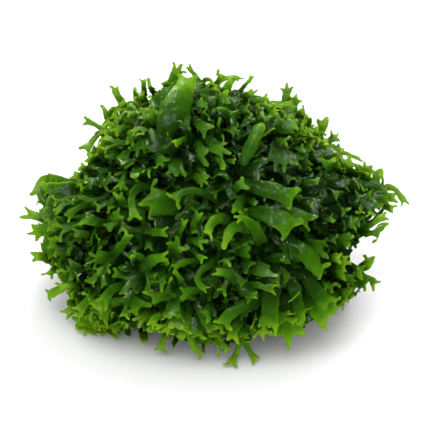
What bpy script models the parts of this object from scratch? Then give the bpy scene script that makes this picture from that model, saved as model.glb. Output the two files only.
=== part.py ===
"""Pellia, a liverwort of water tanks: one wet clump of forked thalli, resting on its flat underside.

The clump is an old matted cushion with single thalli growing out of it. Each thallus is a
ribbon that forks again and again and ends in two small horns. Lengths are in metres, +Z is up,
and the origin is at the middle of the clump's footprint, on the surface it rests on.
The viewer of the picture stands at -Y and looks down on the clump.
"""

import math
import random
from typing import NamedTuple

import bmesh
import bpy
from mathutils import Matrix, Vector
from mathutils.bvhtree import BVHTree

# Picture geometry: where a point of the 430 pixel picture lies on the clump
METRES_PER_PIXEL = 0.0002
PICTURE_CENTRE = (214, 215)
VIEW_ELEVATION = math.radians(30)
VIEW_DISTANCE = 0.75

# The clump's form, as reached by the tips
HEART_HEIGHT = 0.020
OUTLINE_STEP = math.radians(30)
OUTLINE = (0.0365, 0.0290, 0.0290, 0.0280, 0.0305, 0.0300, 0.0370, 0.0350, 0.0295, 0.0290, 0.0305, 0.0330)
DEPTH_REACH = 0.0325
FLOOR_CLEARANCE = 0.0014
LEAST_CLEARANCE = 0.0002

# The matted cushion in the middle, and the lobes fused to it
MAT_SEED = 3
MAT_SHARE = 0.80
MAT_CORNERS = 250
MAT_JITTER = 0.035
MAT_UNEVEN = 0.05
MAT_SAG = 0.16
LOBE_SEED = 7
LOWEST_LOBE = 0.0012
LOBE_TRIES = 16
# How loosely the edges that carry lobes are put in order, and how far a tip keeps to its edge's side
EDGE_ORDER_PLAY = 0.4
TIP_SIDE_SHARE = 0.6
NECK_HEIGHT = 0.0022
NECK_WIDTH = 0.0018
LOBE_REACH = (0.90, 0.98)
LONGEST_LOBE = 0.0085
LOBE_WIDTH = (0.0028, 0.0042)
NOTCH_DEPTH = 0.0016

# Thalli. They lie away from a whorl, which the picture shows near the crown
WHORL_PIXEL = (206, 128)
RIBBON_WIDTH = 0.0024
RIBBON_THICKNESS = 0.0010
RUN = (0.16, 0.30)
SWERVE = 0.65
CURL_MINIMUM = 0.05
# A ribbon's foot, a horn's foot, a horn's point and a fork's halves, as shares of the width before them
FOOT_WIDTH = 0.8
HORN_WIDTH = 0.5
POINT_WIDTH = 0.35
BRANCH_WIDTH = 0.52
# How much a growing ribbon sways and lifts, in radians
SWAY = 0.18
LIFT = 0.25
VIEWER_FACING = 0.9
SKY_FACING = 0.5
# A blade's own points: four of its neck, then four of its tip
BLADE_SIDES = [(i, (i + 1) % 4, 4 + (i + 1) % 4, 4 + i) for i in range(4)]
BLADE_FACES = [(0, 1, 2, 3), *BLADE_SIDES, (4, 5, 7), (6, 7, 5)]
GAP = 0.0003
LOWEST_DIRECTION = -0.62
HIDDEN_DIRECTIONS = 200
HIDDEN_SEED = 1000
NODE_COUNT = 60

# Fitting a thallus: how far it may move, shrink and roll by its last try
TRIES = 60
SLIP = 0.0028
FOOT_SLIP_SHARE = 0.7
SHRINK = 0.35
ROLL = 0.5
STRETCH_LIMITS = (0.75, 1.5)

DARK_GREEN = (0.010, 0.045, 0.008, 1.0)
LEAF_GREEN = (0.045, 0.170, 0.014, 1.0)


class Shape(NamedTuple):
    """How one thallus grows. Angles are in radians, and a bend is per stretch between forks."""

    forks: int = 1
    stretch: float = 0.0045
    shorten: float = 0.72
    width: float = RIBBON_WIDTH
    flare: float = 1.75
    spread: float = 0.50
    bend: float = 0.20
    curl: float = 0.6
    twist: float = 0.15
    horn: float = 0.0013
    stations: int = 3


ANTLER = Shape()
FORK = Shape(forks=2, stretch=0.0042, spread=0.55)
STRAP = Shape(forks=0, stretch=0.0105, width=0.0022, flare=1.6, bend=-0.7, curl=0.8)
LEAF = Shape(forks=1, stretch=0.0068, width=0.0030, flare=1.8, spread=0.36, curl=0.9)
TUBE = Shape(forks=0, stretch=0.0110, width=0.0072, flare=1.05, bend=0.25, curl=3.9, horn=0.0026, stations=5)
PEG = Shape(forks=0, stretch=0.0068, width=0.0022, flare=1.8, bend=-0.4, curl=1.0)


class Lobe(NamedTuple):
    """A thallus that the picture shows, by the pixels of its foot and of its tips."""

    name: str
    foot: tuple
    tip: tuple
    shape: Shape
    size: float = 1.0


SHOWN_LOBES = (
    Lobe("crown_fork", (179, 92), (178, 65), FORK),
    Lobe("crown_strap", (199, 84), (191, 66), ANTLER, 0.8),
    Lobe("crown_leaf", (164, 138), (188, 82), LEAF, 1.15),
    Lobe("crown_hook", (222, 98), (232, 77), ANTLER),
    Lobe("crown_antler_right", (240, 104), (254, 79), ANTLER),
    Lobe("shoulder_strap_right", (252, 110), (268, 97), STRAP, 0.8),
    Lobe("shoulder_frill_right", (282, 118), (292, 86), FORK),
    Lobe("shoulder_fork_left", (114, 132), (84, 133), FORK),
    Lobe("shoulder_strap_left", (126, 116), (107, 98), ANTLER),
    Lobe("shoulder_peg_left", (146, 106), (144, 82), ANTLER, 0.9),
    Lobe("flank_bent_ribbon_left", (78, 182), (36, 186), STRAP, 1.15),
    Lobe("flank_frill_left", (62, 222), (27, 226), FORK),
    Lobe("flank_fork_left_low", (74, 262), (38, 262), FORK),
    Lobe("front_peg_upper", (184, 128), (175, 147), PEG),
    Lobe("front_star_upper", (196, 118), (205, 134), ANTLER),
    Lobe("front_comb", (206, 148), (226, 158), ANTLER),
    Lobe("front_tooth", (200, 164), (204, 184), ANTLER, 0.9),
    Lobe("front_leaf_left", (180, 204), (136, 199), LEAF, 1.1),
    Lobe("front_arch", (222, 206), (168, 196), STRAP, 1.1),
    Lobe("front_peg_left", (122, 160), (122, 184), ANTLER),
    Lobe("front_ribbon_right", (246, 164), (261, 128), STRAP, 1.0),
    Lobe("front_tube", (250, 186), (296, 197), TUBE),
    Lobe("front_leaf_right", (252, 214), (296, 226), LEAF, 1.25),
    Lobe("front_ribbon_centre", (272, 250), (238, 219), STRAP),
    Lobe("front_hook_right", (288, 246), (326, 268), LEAF, 1.1),
    Lobe("front_knuckle", (140, 266), (167, 258), ANTLER),
    Lobe("front_bow", (200, 266), (172, 272), STRAP, 0.8),
    Lobe("front_antler_low", (186, 290), (153, 297), ANTLER),
    Lobe("front_antler_middle", (212, 262), (204, 290), FORK),
    Lobe("skirt_fork_left", (96, 280), (64, 292), FORK),
    Lobe("skirt_antler_left", (166, 300), (134, 324), FORK),
    Lobe("skirt_antler_middle", (184, 318), (162, 346), FORK),
    Lobe("skirt_fork_middle", (240, 326), (238, 362), FORK),
    Lobe("skirt_leaf_right", (282, 310), (292, 344), LEAF, 1.05),
    Lobe("skirt_leaf_corner", (306, 296), (326, 322), LEAF, 0.95),
    Lobe("flank_spray_right", (340, 282), (378, 272), FORK),
    Lobe("flank_antler_right", (354, 226), (380, 226), FORK),
    Lobe("flank_strap_right", (372, 180), (404, 198), ANTLER, 1.1),
    Lobe("flank_frill_right", (338, 158), (360, 158), FORK),
    Lobe("flank_frill_shoulder", (316, 140), (330, 122), FORK),
)


def clear_scene():
    for obj in list(bpy.data.objects):
        bpy.data.objects.remove(obj, do_unlink=True)


def plant_material(name, colour):
    """Wet green tissue in one colour."""
    material = bpy.data.materials.new(name)
    material.use_nodes = True
    shader = material.node_tree.nodes["Principled BSDF"]
    shader.inputs["Base Color"].default_value = colour
    shader.inputs["Roughness"].default_value = 0.35
    shader.inputs["Metallic"].default_value = 0.0
    return material


HEART = Vector((0, 0, HEART_HEIGHT))
PICTURE_RIGHT = Vector((1, 0, 0))
PICTURE_UP = Vector((0, math.sin(VIEW_ELEVATION), math.cos(VIEW_ELEVATION)))
TO_VIEWER = Vector((0, -math.cos(VIEW_ELEVATION), math.sin(VIEW_ELEVATION)))


def outline_reach(angle):
    """How far the tips reach from the heart in the picture's plane, at an angle from its right."""
    place = (angle / OUTLINE_STEP) % len(OUTLINE)
    before = int(place)
    share = place - before
    smooth = share * share * (3 - 2 * share)
    after = (before + 1) % len(OUTLINE)
    return OUTLINE[before] * (1 - smooth) + OUTLINE[after] * smooth


def form_reach(direction):
    """How far the clump's form reaches from its heart along a unit direction."""
    right, up, near = (direction.dot(axis) for axis in (PICTURE_RIGHT, PICTURE_UP, TO_VIEWER))
    reach = outline_reach(math.atan2(up, right))
    return 1 / math.sqrt((right * right + up * up) / reach**2 + (near / DEPTH_REACH) ** 2)


def form_point(direction, share=1.0):
    """The point of the form along a direction, kept above the floor."""
    reach = form_reach(direction) * share
    floor_reach = (HEART_HEIGHT - FLOOR_CLEARANCE) / -direction.z if direction.z < -1e-6 else reach
    return HEART + direction * min(reach, floor_reach)


def picture_point(pixel, share=1.0):
    """The point of the form, scaled by share, that a pixel of the picture shows."""
    near = 0.0
    for _ in range(4):
        scale = METRES_PER_PIXEL * (1 - near / VIEW_DISTANCE)
        right = (pixel[0] - PICTURE_CENTRE[0]) * scale
        up = (PICTURE_CENTRE[1] - pixel[1]) * scale
        reach = outline_reach(math.atan2(up, right)) * share
        outward = min(math.hypot(right, up) / reach, 1.0)
        near = DEPTH_REACH * share * math.sqrt(1 - outward * outward)
        floor_near = (FLOOR_CLEARANCE - HEART_HEIGHT - up * PICTURE_UP.z) / TO_VIEWER.z
        near = max(near, floor_near)
    return HEART + PICTURE_RIGHT * right + PICTURE_UP * up + TO_VIEWER * near


WHORL = (picture_point(WHORL_PIXEL) - HEART).normalized()


class Station(NamedTuple):
    """One place across a ribbon: its point on the upper and on the lower face."""

    top: int
    low: int


class Ribbon:
    """A forking ribbon as a closed cage. It grows along +Y from the origin, upper face to +Z."""

    def __init__(self, shape, seed):
        self.points = []
        self.faces = []
        self.tips = []
        self.shape = shape
        self.random = random.Random(seed)
        frame = Matrix.Identity(3)
        first = self.ring(Vector(), frame, shape.width * FOOT_WIDTH, shape.stations)
        self.cap(first)
        self.stretch(first, Vector(), frame, shape.width, shape.forks)

    def vertex(self, point):
        self.points.append(point.copy())
        return len(self.points) - 1

    def ring(self, centre, frame, width, count, crotch=False):
        """A row of stations across the ribbon, bent round an arc. Its rims are single points."""
        across, _, up = frame.col
        curl = max(self.shape.curl, CURL_MINIMUM)
        radius = width / curl
        stations = []
        for index in range(count):
            angle = (index / (count - 1) - 0.5) * curl
            point = centre + across * math.sin(angle) * radius + up * (1 - math.cos(angle)) * radius
            outward = up * math.cos(angle) - across * math.sin(angle)
            rim = index in (0, count - 1) or (crotch and index == count // 2)
            half = 0 if rim else RIBBON_THICKNESS / 2
            top = self.vertex(point + outward * half)
            stations.append(Station(top, top if rim else self.vertex(point - outward * half)))
        return stations

    def cap(self, ring):
        loop = [s.top for s in ring] + [s.low for s in reversed(ring[1:-1])]
        self.faces.append(loop)

    def strip(self, ring, after):
        """Faces between two rows. Where a row of three meets a row of five, a wedge fills in."""
        if len(after) == len(ring):
            for a, b, c, d in zip(ring, ring[1:], after, after[1:]):
                self.patch((a, b, d, c))
        else:
            self.patch((ring[0], ring[1], after[1], after[0]))
            self.patch((ring[1], after[2], after[1]))
            self.patch((ring[1], after[3], after[2]))
            self.patch((ring[1], ring[2], after[4], after[3]))

    def patch(self, stations):
        """One face on the upper side and its twin on the lower side."""
        self.faces.append([s.top for s in stations])
        self.faces.append([s.low for s in reversed(stations)])

    def stretch(self, ring, centre, frame, width, forks):
        """One stretch of ribbon, then its fork, or its horns where no fork is left."""
        shape = self.shape
        jitter = self.random.uniform
        length = shape.stretch * shape.shorten ** (shape.forks - forks) * jitter(0.85, 1.15)
        bend = shape.bend * jitter(0.4, 1.6)
        twist = shape.twist * jitter(-2, 2)
        sway = jitter(-SWAY, SWAY)
        turn = (
            Matrix.Rotation(bend, 3, "X")
            @ Matrix.Rotation(twist, 3, "Y")
            @ Matrix.Rotation(sway, 3, "Z")
        )
        frame = frame @ turn
        centre = centre + frame.col[1] * length
        wide = width * shape.flare
        after = self.ring(centre, frame, wide, max(len(ring), 5), crotch=True)
        self.strip(ring, after)
        middle = len(after) // 2
        for side, half in ((-1, after[: middle + 1]), (1, after[middle:])):
            spread = side * shape.spread * jitter(0.75, 1.25)
            lift = jitter(-LIFT, LIFT)
            turned = frame @ Matrix.Rotation(-spread, 3, "Z") @ Matrix.Rotation(lift, 3, "X")
            start = sum((self.points[s.top] for s in half), Vector()) / len(half)
            if forks:
                self.stretch(half, start, turned, wide * BRANCH_WIDTH, forks - 1)
            else:
                self.horn(half, start, turned, wide * HORN_WIDTH)

    def horn(self, ring, centre, frame, width):
        """A short pointed horn on one corner of a tip."""
        length = self.shape.horn * self.random.uniform(0.6, 1.3)
        end = centre + frame.col[1] * length
        last = self.ring(end, frame, width * POINT_WIDTH, len(ring))
        self.strip(ring, last)
        self.cap(last[::-1])
        self.tips.append(end)


def placed(ribbon, foot, tip, facing, roll=0.0):
    """The ribbon's points with its foot and the middle of its tips put where they belong."""
    middle = sum(ribbon.tips, Vector()) / len(ribbon.tips)
    along = (tip - foot).normalized()
    across = along.cross(facing).normalized()
    goal = Matrix((across, along, across.cross(along))).transposed()
    own = middle.normalized()
    side = own.cross(Vector((0, 0, 1))).normalized()
    start = Matrix((side, own, side.cross(own))).transposed()
    turn = goal @ Matrix.Rotation(roll, 3, "Y") @ start.transposed()
    least, most = STRETCH_LIMITS
    scale = min(max((tip - foot).length / middle.length, least), most)
    return [foot + turn @ point * scale for point in ribbon.points]


def closed_mesh(name, points, faces):
    """A mesh of triangles, with its faces turned outwards."""
    made = bmesh.new()
    vertices = [made.verts.new(point) for point in points]
    for face in faces:
        made.faces.new([vertices[index] for index in face])
    bmesh.ops.triangulate(made, faces=made.faces[:], ngon_method="EAR_CLIP")
    bmesh.ops.recalc_face_normals(made, faces=made.faces[:])
    mesh = bpy.data.meshes.new(name)
    made.to_mesh(mesh)
    made.free()
    return mesh


def mesh_of(name, made):
    """A copy of an edit mesh, in triangles that face outwards."""
    copy = made.copy()
    bmesh.ops.triangulate(copy, faces=copy.faces[:])
    bmesh.ops.recalc_face_normals(copy, faces=copy.faces[:])
    mesh = bpy.data.meshes.new(name)
    copy.to_mesh(mesh)
    copy.free()
    return mesh


def add_object(name, mesh, material):
    mesh.materials.append(material)
    mesh.shade_smooth()
    mesh.set_sharp_from_angle(angle=math.radians(50))
    obj = bpy.data.objects.new(name, mesh)
    bpy.context.scene.collection.objects.link(obj)
    return obj


def tree_of(mesh):
    points = [vertex.co.copy() for vertex in mesh.vertices]
    return BVHTree.FromPolygons(points, [tuple(polygon.vertices) for polygon in mesh.polygons])


class Taken:
    """The space that the pieces made so far fill."""

    def __init__(self):
        self.pieces = []

    def add(self, mesh):
        points = [vertex.co.copy() for vertex in mesh.vertices]
        self.pieces.append((*box_of(points), tree_of(mesh), points))

    def clear_of(self, mesh, first=0):
        """Whether a mesh crosses nothing and keeps the gap to everything."""
        own_points = [vertex.co for vertex in mesh.vertices]
        own_low, own_high = box_of(own_points)
        if own_low.z < LEAST_CLEARANCE:
            return False
        own = None
        for low, high, tree, points in self.pieces[first:]:
            if any(own_low[i] > high[i] + GAP or own_high[i] < low[i] - GAP for i in range(3)):
                continue
            own = own or tree_of(mesh)
            if own.overlap(tree):
                return False
            if any(tree.find_nearest(point, GAP)[0] for point in own_points):
                return False
            if any(own.find_nearest(point, GAP)[0] for point in points):
                return False
        return True


def box_of(points):
    low = Vector([min(point[i] for point in points) for i in range(3)])
    high = Vector([max(point[i] for point in points) for i in range(3)])
    return low, high


def mat_cushion():
    """The form drawn in and cut flat underneath, as a shell of uneven triangles."""
    draw = random.Random(MAT_SEED)
    made = bmesh.new()
    for direction in even_directions(MAT_CORNERS):
        jitter = Vector([draw.uniform(-MAT_JITTER, MAT_JITTER) for _ in range(3)])
        made.verts.new((direction + jitter).normalized())
    bmesh.ops.convex_hull(made, input=made.verts[:])
    for vertex in made.verts:
        direction = vertex.co.normalized()
        sag = 1 + MAT_SAG * max(0.0, -direction.z)
        reach = form_reach(direction) * MAT_SHARE * sag * (1 + draw.uniform(-MAT_UNEVEN, MAT_UNEVEN))
        floor_reach = HEART_HEIGHT / -direction.z if direction.z < 0 else reach
        vertex.co = HEART + direction * min(reach, floor_reach)
    bmesh.ops.recalc_face_normals(made, faces=made.faces[:])
    return made


def lobe_outline(edge):
    """The two faces beside an edge of the mat, as one loop of four corners seen from outside."""
    loop, twin = edge.link_loops
    return [loop.vert, twin.link_loop_prev.vert, loop.link_loop_next.vert, loop.link_loop_prev.vert]


def lobe_rings(outline, draw):
    """The neck and the two-horned tip of a lobe over four corners, in the order of the corners."""
    corners = [vertex.co for vertex in outline]
    middle = sum(corners, Vector()) / len(corners)
    side = (corners[2] - corners[0]).normalized()
    normal = side.cross(corners[1] - corners[3]).normalized()
    outward = (middle - HEART).normalized()
    goal = form_point(tip_direction(outward, draw), draw.uniform(*LOBE_REACH))
    neck_up = side.cross(normal).normalized()
    neck = middle + (normal + (goal - middle).normalized()).normalized() * NECK_HEIGHT
    along = (goal - neck).normalized()
    length = min((goal - neck).length, LONGEST_LOBE)
    narrow = side * (NECK_WIDTH / 2)
    thin = neck_up * (RIBBON_THICKNESS / 2)
    neck_ring = [neck - narrow, neck + thin, neck + narrow, neck - thin]
    across = along.cross(outward).normalized()
    if across.dot(side) < 0:
        across = -across
    across = (across + side * TIP_SIDE_SHARE).normalized()
    up = across.cross(along).normalized()
    end = neck + along * length
    wide = across * (draw.uniform(*LOBE_WIDTH) / 2)
    thin = up * (RIBBON_THICKNESS / 2)
    notch = end - along * NOTCH_DEPTH
    tip_ring = [end - wide, notch + thin, end + wide, notch - thin]
    return neck_ring, tip_ring


def ring_sides(before, after):
    """The faces between two rings of four points."""
    return [(before[i], before[i - 3], after[i - 3], after[i]) for i in range(4)]


def lobe_faces(foot, neck, tip):
    """A lobe's faces, from the mat's corners over its neck to the two horns of its tip."""
    end = [(tip[0], tip[1], tip[3]), (tip[2], tip[3], tip[1])]
    return ring_sides(foot, neck) + ring_sides(neck, tip) + end


def grow_mat_lobes(cushion, taken):
    """Two-horned lobes fused all over the cushion, each with room between its neighbours."""
    draw = random.Random(LOBE_SEED)
    plans = []
    used = set()
    for edge in across_first(cushion.edges, draw):
        outline = lobe_outline(edge)
        if used & set(edge.link_faces) or min(vertex.co.z for vertex in outline) < LOWEST_LOBE:
            continue
        for _ in range(LOBE_TRIES):
            neck_ring, tip_ring = lobe_rings(outline, draw)
            blade = closed_mesh("blade", neck_ring + tip_ring, BLADE_FACES)
            if taken.clear_of(blade, first=1):
                taken.add(blade)
                used |= set(edge.link_faces)
                plans.append((list(edge.link_faces), outline, neck_ring, tip_ring))
                break
    for old_faces, outline, neck_ring, tip_ring in plans:
        bmesh.ops.delete(cushion, geom=old_faces, context="FACES_KEEP_BOUNDARY")
        neck = [cushion.verts.new(point) for point in neck_ring]
        tip = [cushion.verts.new(point) for point in tip_ring]
        for face in lobe_faces(outline, neck, tip):
            cushion.faces.new(face)
    print("lobes on the mat", len(plans))


def across_first(edges, draw):
    """The edges in a loose order, those that lie across the direction of growth first."""
    def rank(edge):
        start, end = (vertex.co for vertex in edge.verts)
        outward = ((start + end) / 2 - HEART).normalized()
        away = outward * WHORL.dot(outward) - WHORL
        return abs((end - start).normalized().dot(away.normalized())) + draw.uniform(0, EDGE_ORDER_PLAY)

    return sorted(edges, key=rank)


def shown_thallus(lobe, taken, number):
    """The mesh of a lobe that the picture shows, at the first try that meets nothing."""
    foot = picture_point(lobe.foot, MAT_SHARE)
    tip = picture_point(lobe.tip)
    facing = (foot - HEART).normalized() + TO_VIEWER * VIEWER_FACING
    return fitted_thallus(lobe.name, lobe.shape, lobe.size, foot, tip, facing, taken, number)


def fitted_thallus(name, shape, size, foot, tip, facing, taken, seed):
    """A thallus from the mat to a tip, moved a little at each try until it has room."""
    draw = random.Random(seed)
    for attempt in range(TRIES):
        strength = attempt / TRIES
        slip = Vector([draw.gauss(0, SLIP) for _ in range(3)]) * strength
        shrink = size * (1 - SHRINK * strength)
        outward = (foot - HEART).normalized()
        goal = tip + slip
        base = foot + slip * FOOT_SLIP_SHARE
        grown = shape._replace(
            stretch=shape.stretch * shrink,
            width=shape.width * shrink,
            horn=shape.horn * shrink,
        )
        ribbon = Ribbon(grown, seed * 100 + attempt)
        points = placed(ribbon, base, goal, facing, draw.gauss(0, ROLL) * strength)
        mesh = closed_mesh(name, points, ribbon.faces)
        lift_clear(mesh, taken.pieces[0][2], outward)
        if taken.clear_of(mesh):
            return mesh
        bpy.data.meshes.remove(mesh)
    return None


def lift_clear(mesh, mat_tree, outward):
    """Moves a thallus outwards until its foot stands just off the mat."""
    depth = -GAP * 4
    for vertex in mesh.vertices:
        near, normal, _, _ = mat_tree.find_nearest(vertex.co)
        depth = max(depth, (near - vertex.co).dot(normal))
    mesh.transform(Matrix.Translation(outward * (depth + GAP * 1.5)))


def even_directions(count):
    """Directions spread evenly over the clump, in a scattered order."""
    golden = math.pi * (3 - math.sqrt(5))
    places = list(range(count))
    random.Random(count).shuffle(places)
    for place in places:
        height = 1 - 2 * (place + 0.5) / count
        ring = math.sqrt(1 - height * height)
        turn = golden * place
        yield Vector((ring * math.cos(turn), ring * math.sin(turn), height))


def tip_direction(direction, draw):
    """A direction a little farther from the whorl, where a tip that starts at this one ends."""
    away = (direction * WHORL.dot(direction) - WHORL).normalized()
    away.rotate(Matrix.Rotation(draw.gauss(0, SWERVE), 3, direction))
    run = draw.uniform(*RUN)
    return direction * math.cos(run) + away * math.sin(run)


def hidden_thallus(direction, taken, number):
    """A thallus on a side that the picture doesn't show."""
    seed = HIDDEN_SEED + number
    draw = random.Random(seed)
    foot = form_point(direction, MAT_SHARE)
    tip = form_point(tip_direction(direction, draw))
    shape = draw.choice((FORK, ANTLER, ANTLER, LEAF, STRAP))
    facing = direction + Vector((0, 0, SKY_FACING))
    return fitted_thallus(f"back_thallus_{number:02d}", shape, 1.0, foot, tip, facing, taken, seed)


def centre_on_footprint(objects):
    """Puts the middle of the clump's width and depth over the origin."""
    points = [vertex.co for obj in objects for vertex in obj.data.vertices]
    middle_x = (min(p.x for p in points) + max(p.x for p in points)) / 2
    middle_y = (min(p.y for p in points) + max(p.y for p in points)) / 2
    for obj in objects:
        obj.data.transform(Matrix.Translation((-middle_x, -middle_y, 0)))


def shown_thalli(taken):
    """The thalli that the picture shows."""
    meshes = []
    for number, lobe in enumerate(SHOWN_LOBES):
        mesh = shown_thallus(lobe, taken, number)
        if mesh is None:
            print("no room for", lobe.name)
            continue
        taken.add(mesh)
        meshes.append(mesh)
    return meshes


def hidden_thalli(taken, count):
    """Thalli for the sides that the picture doesn't show."""
    meshes = []
    for direction in even_directions(HIDDEN_DIRECTIONS):
        if len(meshes) == count:
            break
        if direction.dot(TO_VIEWER) > 0 or direction.z < LOWEST_DIRECTION:
            continue
        mesh = hidden_thallus(direction, taken, len(meshes) + 1)
        if mesh is not None:
            taken.add(mesh)
            meshes.append(mesh)
    return meshes


def main():
    clear_scene()
    old_green = plant_material("old_tissue", DARK_GREEN)
    young_green = plant_material("young_tissue", LEAF_GREEN)
    cushion = mat_cushion()
    taken = Taken()
    taken.add(mesh_of("cushion", cushion))
    meshes = shown_thalli(taken)
    meshes += hidden_thalli(taken, NODE_COUNT - 1 - len(meshes))
    grow_mat_lobes(cushion, taken)
    mat = mesh_of("mat", cushion)
    objects = [add_object("mat", mat, old_green)]
    objects += [add_object(mesh.name, mesh, young_green) for mesh in meshes]
    centre_on_footprint(objects)
    print("nodes", len(objects), "triangles", sum(len(o.data.polygons) for o in objects))


main()
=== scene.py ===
"""Looks of the pellia clump: wet, fleshy, forked thalli over a dark mat, seen from above its front.

Lengths are in metres, +Z is up, and the picture's viewer stands at -Y and looks down on the clump.
A share of the form is 0 at the clump's heart and 1 where its tips reach.
"""

import math
import random
from typing import Callable, NamedTuple

import bmesh
import bpy
import numpy
from mathutils import Matrix, Vector, noise


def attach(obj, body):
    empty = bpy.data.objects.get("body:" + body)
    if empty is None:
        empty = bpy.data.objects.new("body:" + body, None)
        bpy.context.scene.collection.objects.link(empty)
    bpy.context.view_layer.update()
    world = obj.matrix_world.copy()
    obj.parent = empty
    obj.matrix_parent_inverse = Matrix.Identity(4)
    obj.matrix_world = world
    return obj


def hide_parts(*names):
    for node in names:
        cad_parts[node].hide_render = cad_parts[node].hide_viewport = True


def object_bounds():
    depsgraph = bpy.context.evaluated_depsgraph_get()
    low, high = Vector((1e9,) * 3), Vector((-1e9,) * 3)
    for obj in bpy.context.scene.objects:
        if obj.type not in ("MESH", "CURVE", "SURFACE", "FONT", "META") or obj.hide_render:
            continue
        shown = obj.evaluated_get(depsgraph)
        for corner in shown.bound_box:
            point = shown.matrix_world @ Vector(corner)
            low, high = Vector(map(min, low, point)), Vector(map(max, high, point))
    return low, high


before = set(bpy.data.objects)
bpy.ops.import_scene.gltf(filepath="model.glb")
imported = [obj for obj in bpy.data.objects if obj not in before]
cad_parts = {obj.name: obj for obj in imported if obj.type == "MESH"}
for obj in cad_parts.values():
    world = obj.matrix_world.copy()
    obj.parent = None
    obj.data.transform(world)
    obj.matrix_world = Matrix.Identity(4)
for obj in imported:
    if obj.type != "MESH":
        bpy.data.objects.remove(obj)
CAD_LOW, CAD_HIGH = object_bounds()

# Picture geometry: where a point of the 430 pixel picture lies on the clump
METRES_PER_PIXEL = 0.0002
PICTURE_SIZE = 430
PICTURE_CENTRE = (214, 215)
VIEW_ELEVATION = math.radians(30)
VIEW_DISTANCE = 0.75
PICTURE_RIGHT = Vector((1, 0, 0))
PICTURE_UP = Vector((0, math.sin(VIEW_ELEVATION), math.cos(VIEW_ELEVATION)))
TO_VIEWER = Vector((0, -math.cos(VIEW_ELEVATION), math.sin(VIEW_ELEVATION)))
# Rounds in which a pixel's place and its nearness to the viewer settle on each other
SETTLING_ROUNDS = 4

# The clump's form, as reached by the tips
HEART = Vector((-0.0001, 0.00035, 0.020))
OUTLINE_STEP = math.radians(30)
OUTLINE = (0.0365, 0.0290, 0.0290, 0.0280, 0.0305, 0.0300, 0.0370, 0.0350, 0.0295, 0.0290, 0.0305, 0.0330)
DEPTH_REACH = 0.0325
FLOOR_CLEARANCE = 0.0014
# No tissue counts as farther out than this share
FARTHEST_SHARE = 1.1

# The edge of the tangle in the picture, without the thalli that stick out of it
PICTURE_EDGE = (
    (116, 102), (130, 96), (150, 89), (166, 83), (182, 76), (196, 79), (214, 81), (232, 87),
    (250, 91), (268, 100), (280, 101), (292, 92), (300, 106), (312, 122), (328, 132), (337, 147),
    (352, 165), (370, 172), (384, 176), (393, 190), (391, 204), (384, 215), (370, 223), (362, 236),
    (354, 244), (345, 254), (350, 265), (362, 267), (374, 262), (380, 276), (370, 292), (350, 304),
    (331, 316), (316, 322), (301, 328), (290, 345), (280, 333), (262, 332), (248, 340), (236, 345),
    (222, 343), (208, 347), (196, 345), (184, 341), (170, 341), (150, 330), (130, 333), (110, 336),
    (88, 335), (77, 325), (71, 310), (66, 296), (61, 283), (48, 270), (37, 258), (36, 246),
    (44, 236), (34, 222), (34, 208), (30, 196), (38, 181), (56, 176), (74, 179), (83, 163),
    (90, 147), (97, 134), (104, 118),
)

# Thalli that keep this low may lie outside the edge, in the notches between its lumps
NOTCH_SHARE = 0.85
# How many pixels in from the edge painted light reaches, as if light came through the thin tissue there, and
# how much this painted light lightens filling and shown thalli
EDGE_BAND = 22
EDGE_PAINTED_LIGHT = 0.20
SHOWN_EDGE_PAINTED_LIGHT = 0.34

# Where the clump's front, flanks, low back, skirt and edge begin: how much of a direction there
# points to the viewer, aside or up
FRONT_FACING = 0.25
FLANK_ASIDE = 0.55
LOW_UP = -0.1
SKIRT_UP = -0.15
SKIRT_FACING = -0.3
EDGE_FACING = 0.45

# Growth: thalli lie away from a whorl, which the picture shows near the crown
WHORL_PIXEL = (206, 128)
SWERVE = 0.9
# How much of its facing a thallus keeps from one row to the next
STIFFNESS = 0.8
# How an unnamed thallus rises: at 1 it leans evenly, above 1 it bends over, below 1 it turns up
BOW = (0.7, 2.2)
# Its size, as a share of its form's, and how many points its middle runs through
SIZE = (0.85, 1.35)
WILD_POINTS = 4
# How branches and horns turn aside, as a share of their form's spread, and how they rise
TURNING = (0.7, 1.3)
RISING = (-0.3, 0.2)
BRANCH_RISING = (-0.2, 0.1)
# How long they are, as a share of their form's, and how far apart and wide, as shares of the tip
BRANCH_LENGTH = (0.8, 1.3)
BRANCH_GAP = 0.25
BRANCH_WIDTH = 0.5
BRANCH_FLARE = 1.3
HORN_LENGTH = (0.6, 1.3)
HORN_GAP = 0.2
# How far thalli roll about their own length, in radians
SHOWN_ROLL = 0.20
UNSEEN_ROLL = 0.3
FILLING_ROLL = 0.4
# How a hollowed thallus curls, as a share of one that is bent over, and how many shown ones are hollowed
HOLLOW = -0.7
HOLLOWED_SHARE = 0.35
# How much a shown thallus faces the viewer, where it is not at the edge
SHOWN_FACING = 0.6
# How steeply a shown thallus may run back along the line of sight, and how far it may go freely
NAMED_STEEPNESS = 1.4
SHOWN_STEEPNESS = 0.9
EASE = 0.0006
# How steeply a horn may run along the line of sight, either way
HORN_STEEPNESS = 0.6

# Fleshy tissue, thin where it is frilled
SHOWN_THICKNESS = 0.00062
SHOWN_FRILL_THICKNESS = 0.00042
THICKNESS = 0.0005
FRILL_THICKNESS = 0.00034
# A mere thread has this share of its thickness, which grows by a whole one over this width
THREAD_FLESH = 0.45
FLESH_WIDTH = 0.0030
# How much thinner tissue is beside its rims
RIM_THINNING = 0.4
# How uneven smooth and frilled tissue is in its width and waves
SMOOTH_RUFFLE = 0.05
FRILL_RUFFLE = 0.15
# A strap's own width, as a share of the width that its soft edge in the picture seems to have
SLIMMER = 0.88
# How long the rows of shown and of other thalli are, and the fewest and most rows of a stem
SHOWN_ROW_STEP = 0.0016
ROW_STEP = 0.0018
FEWEST_ROWS = 2
MOST_ROWS = 7
# Stations across a stem without ends, and the share of a stem that sets its first row's direction
PLAIN_STATIONS = 3
FIRST_SHARE = 0.1
# How far a horn's cage goes past its point, as smoothing draws it in
OVERSHOOT = 0.14
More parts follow.
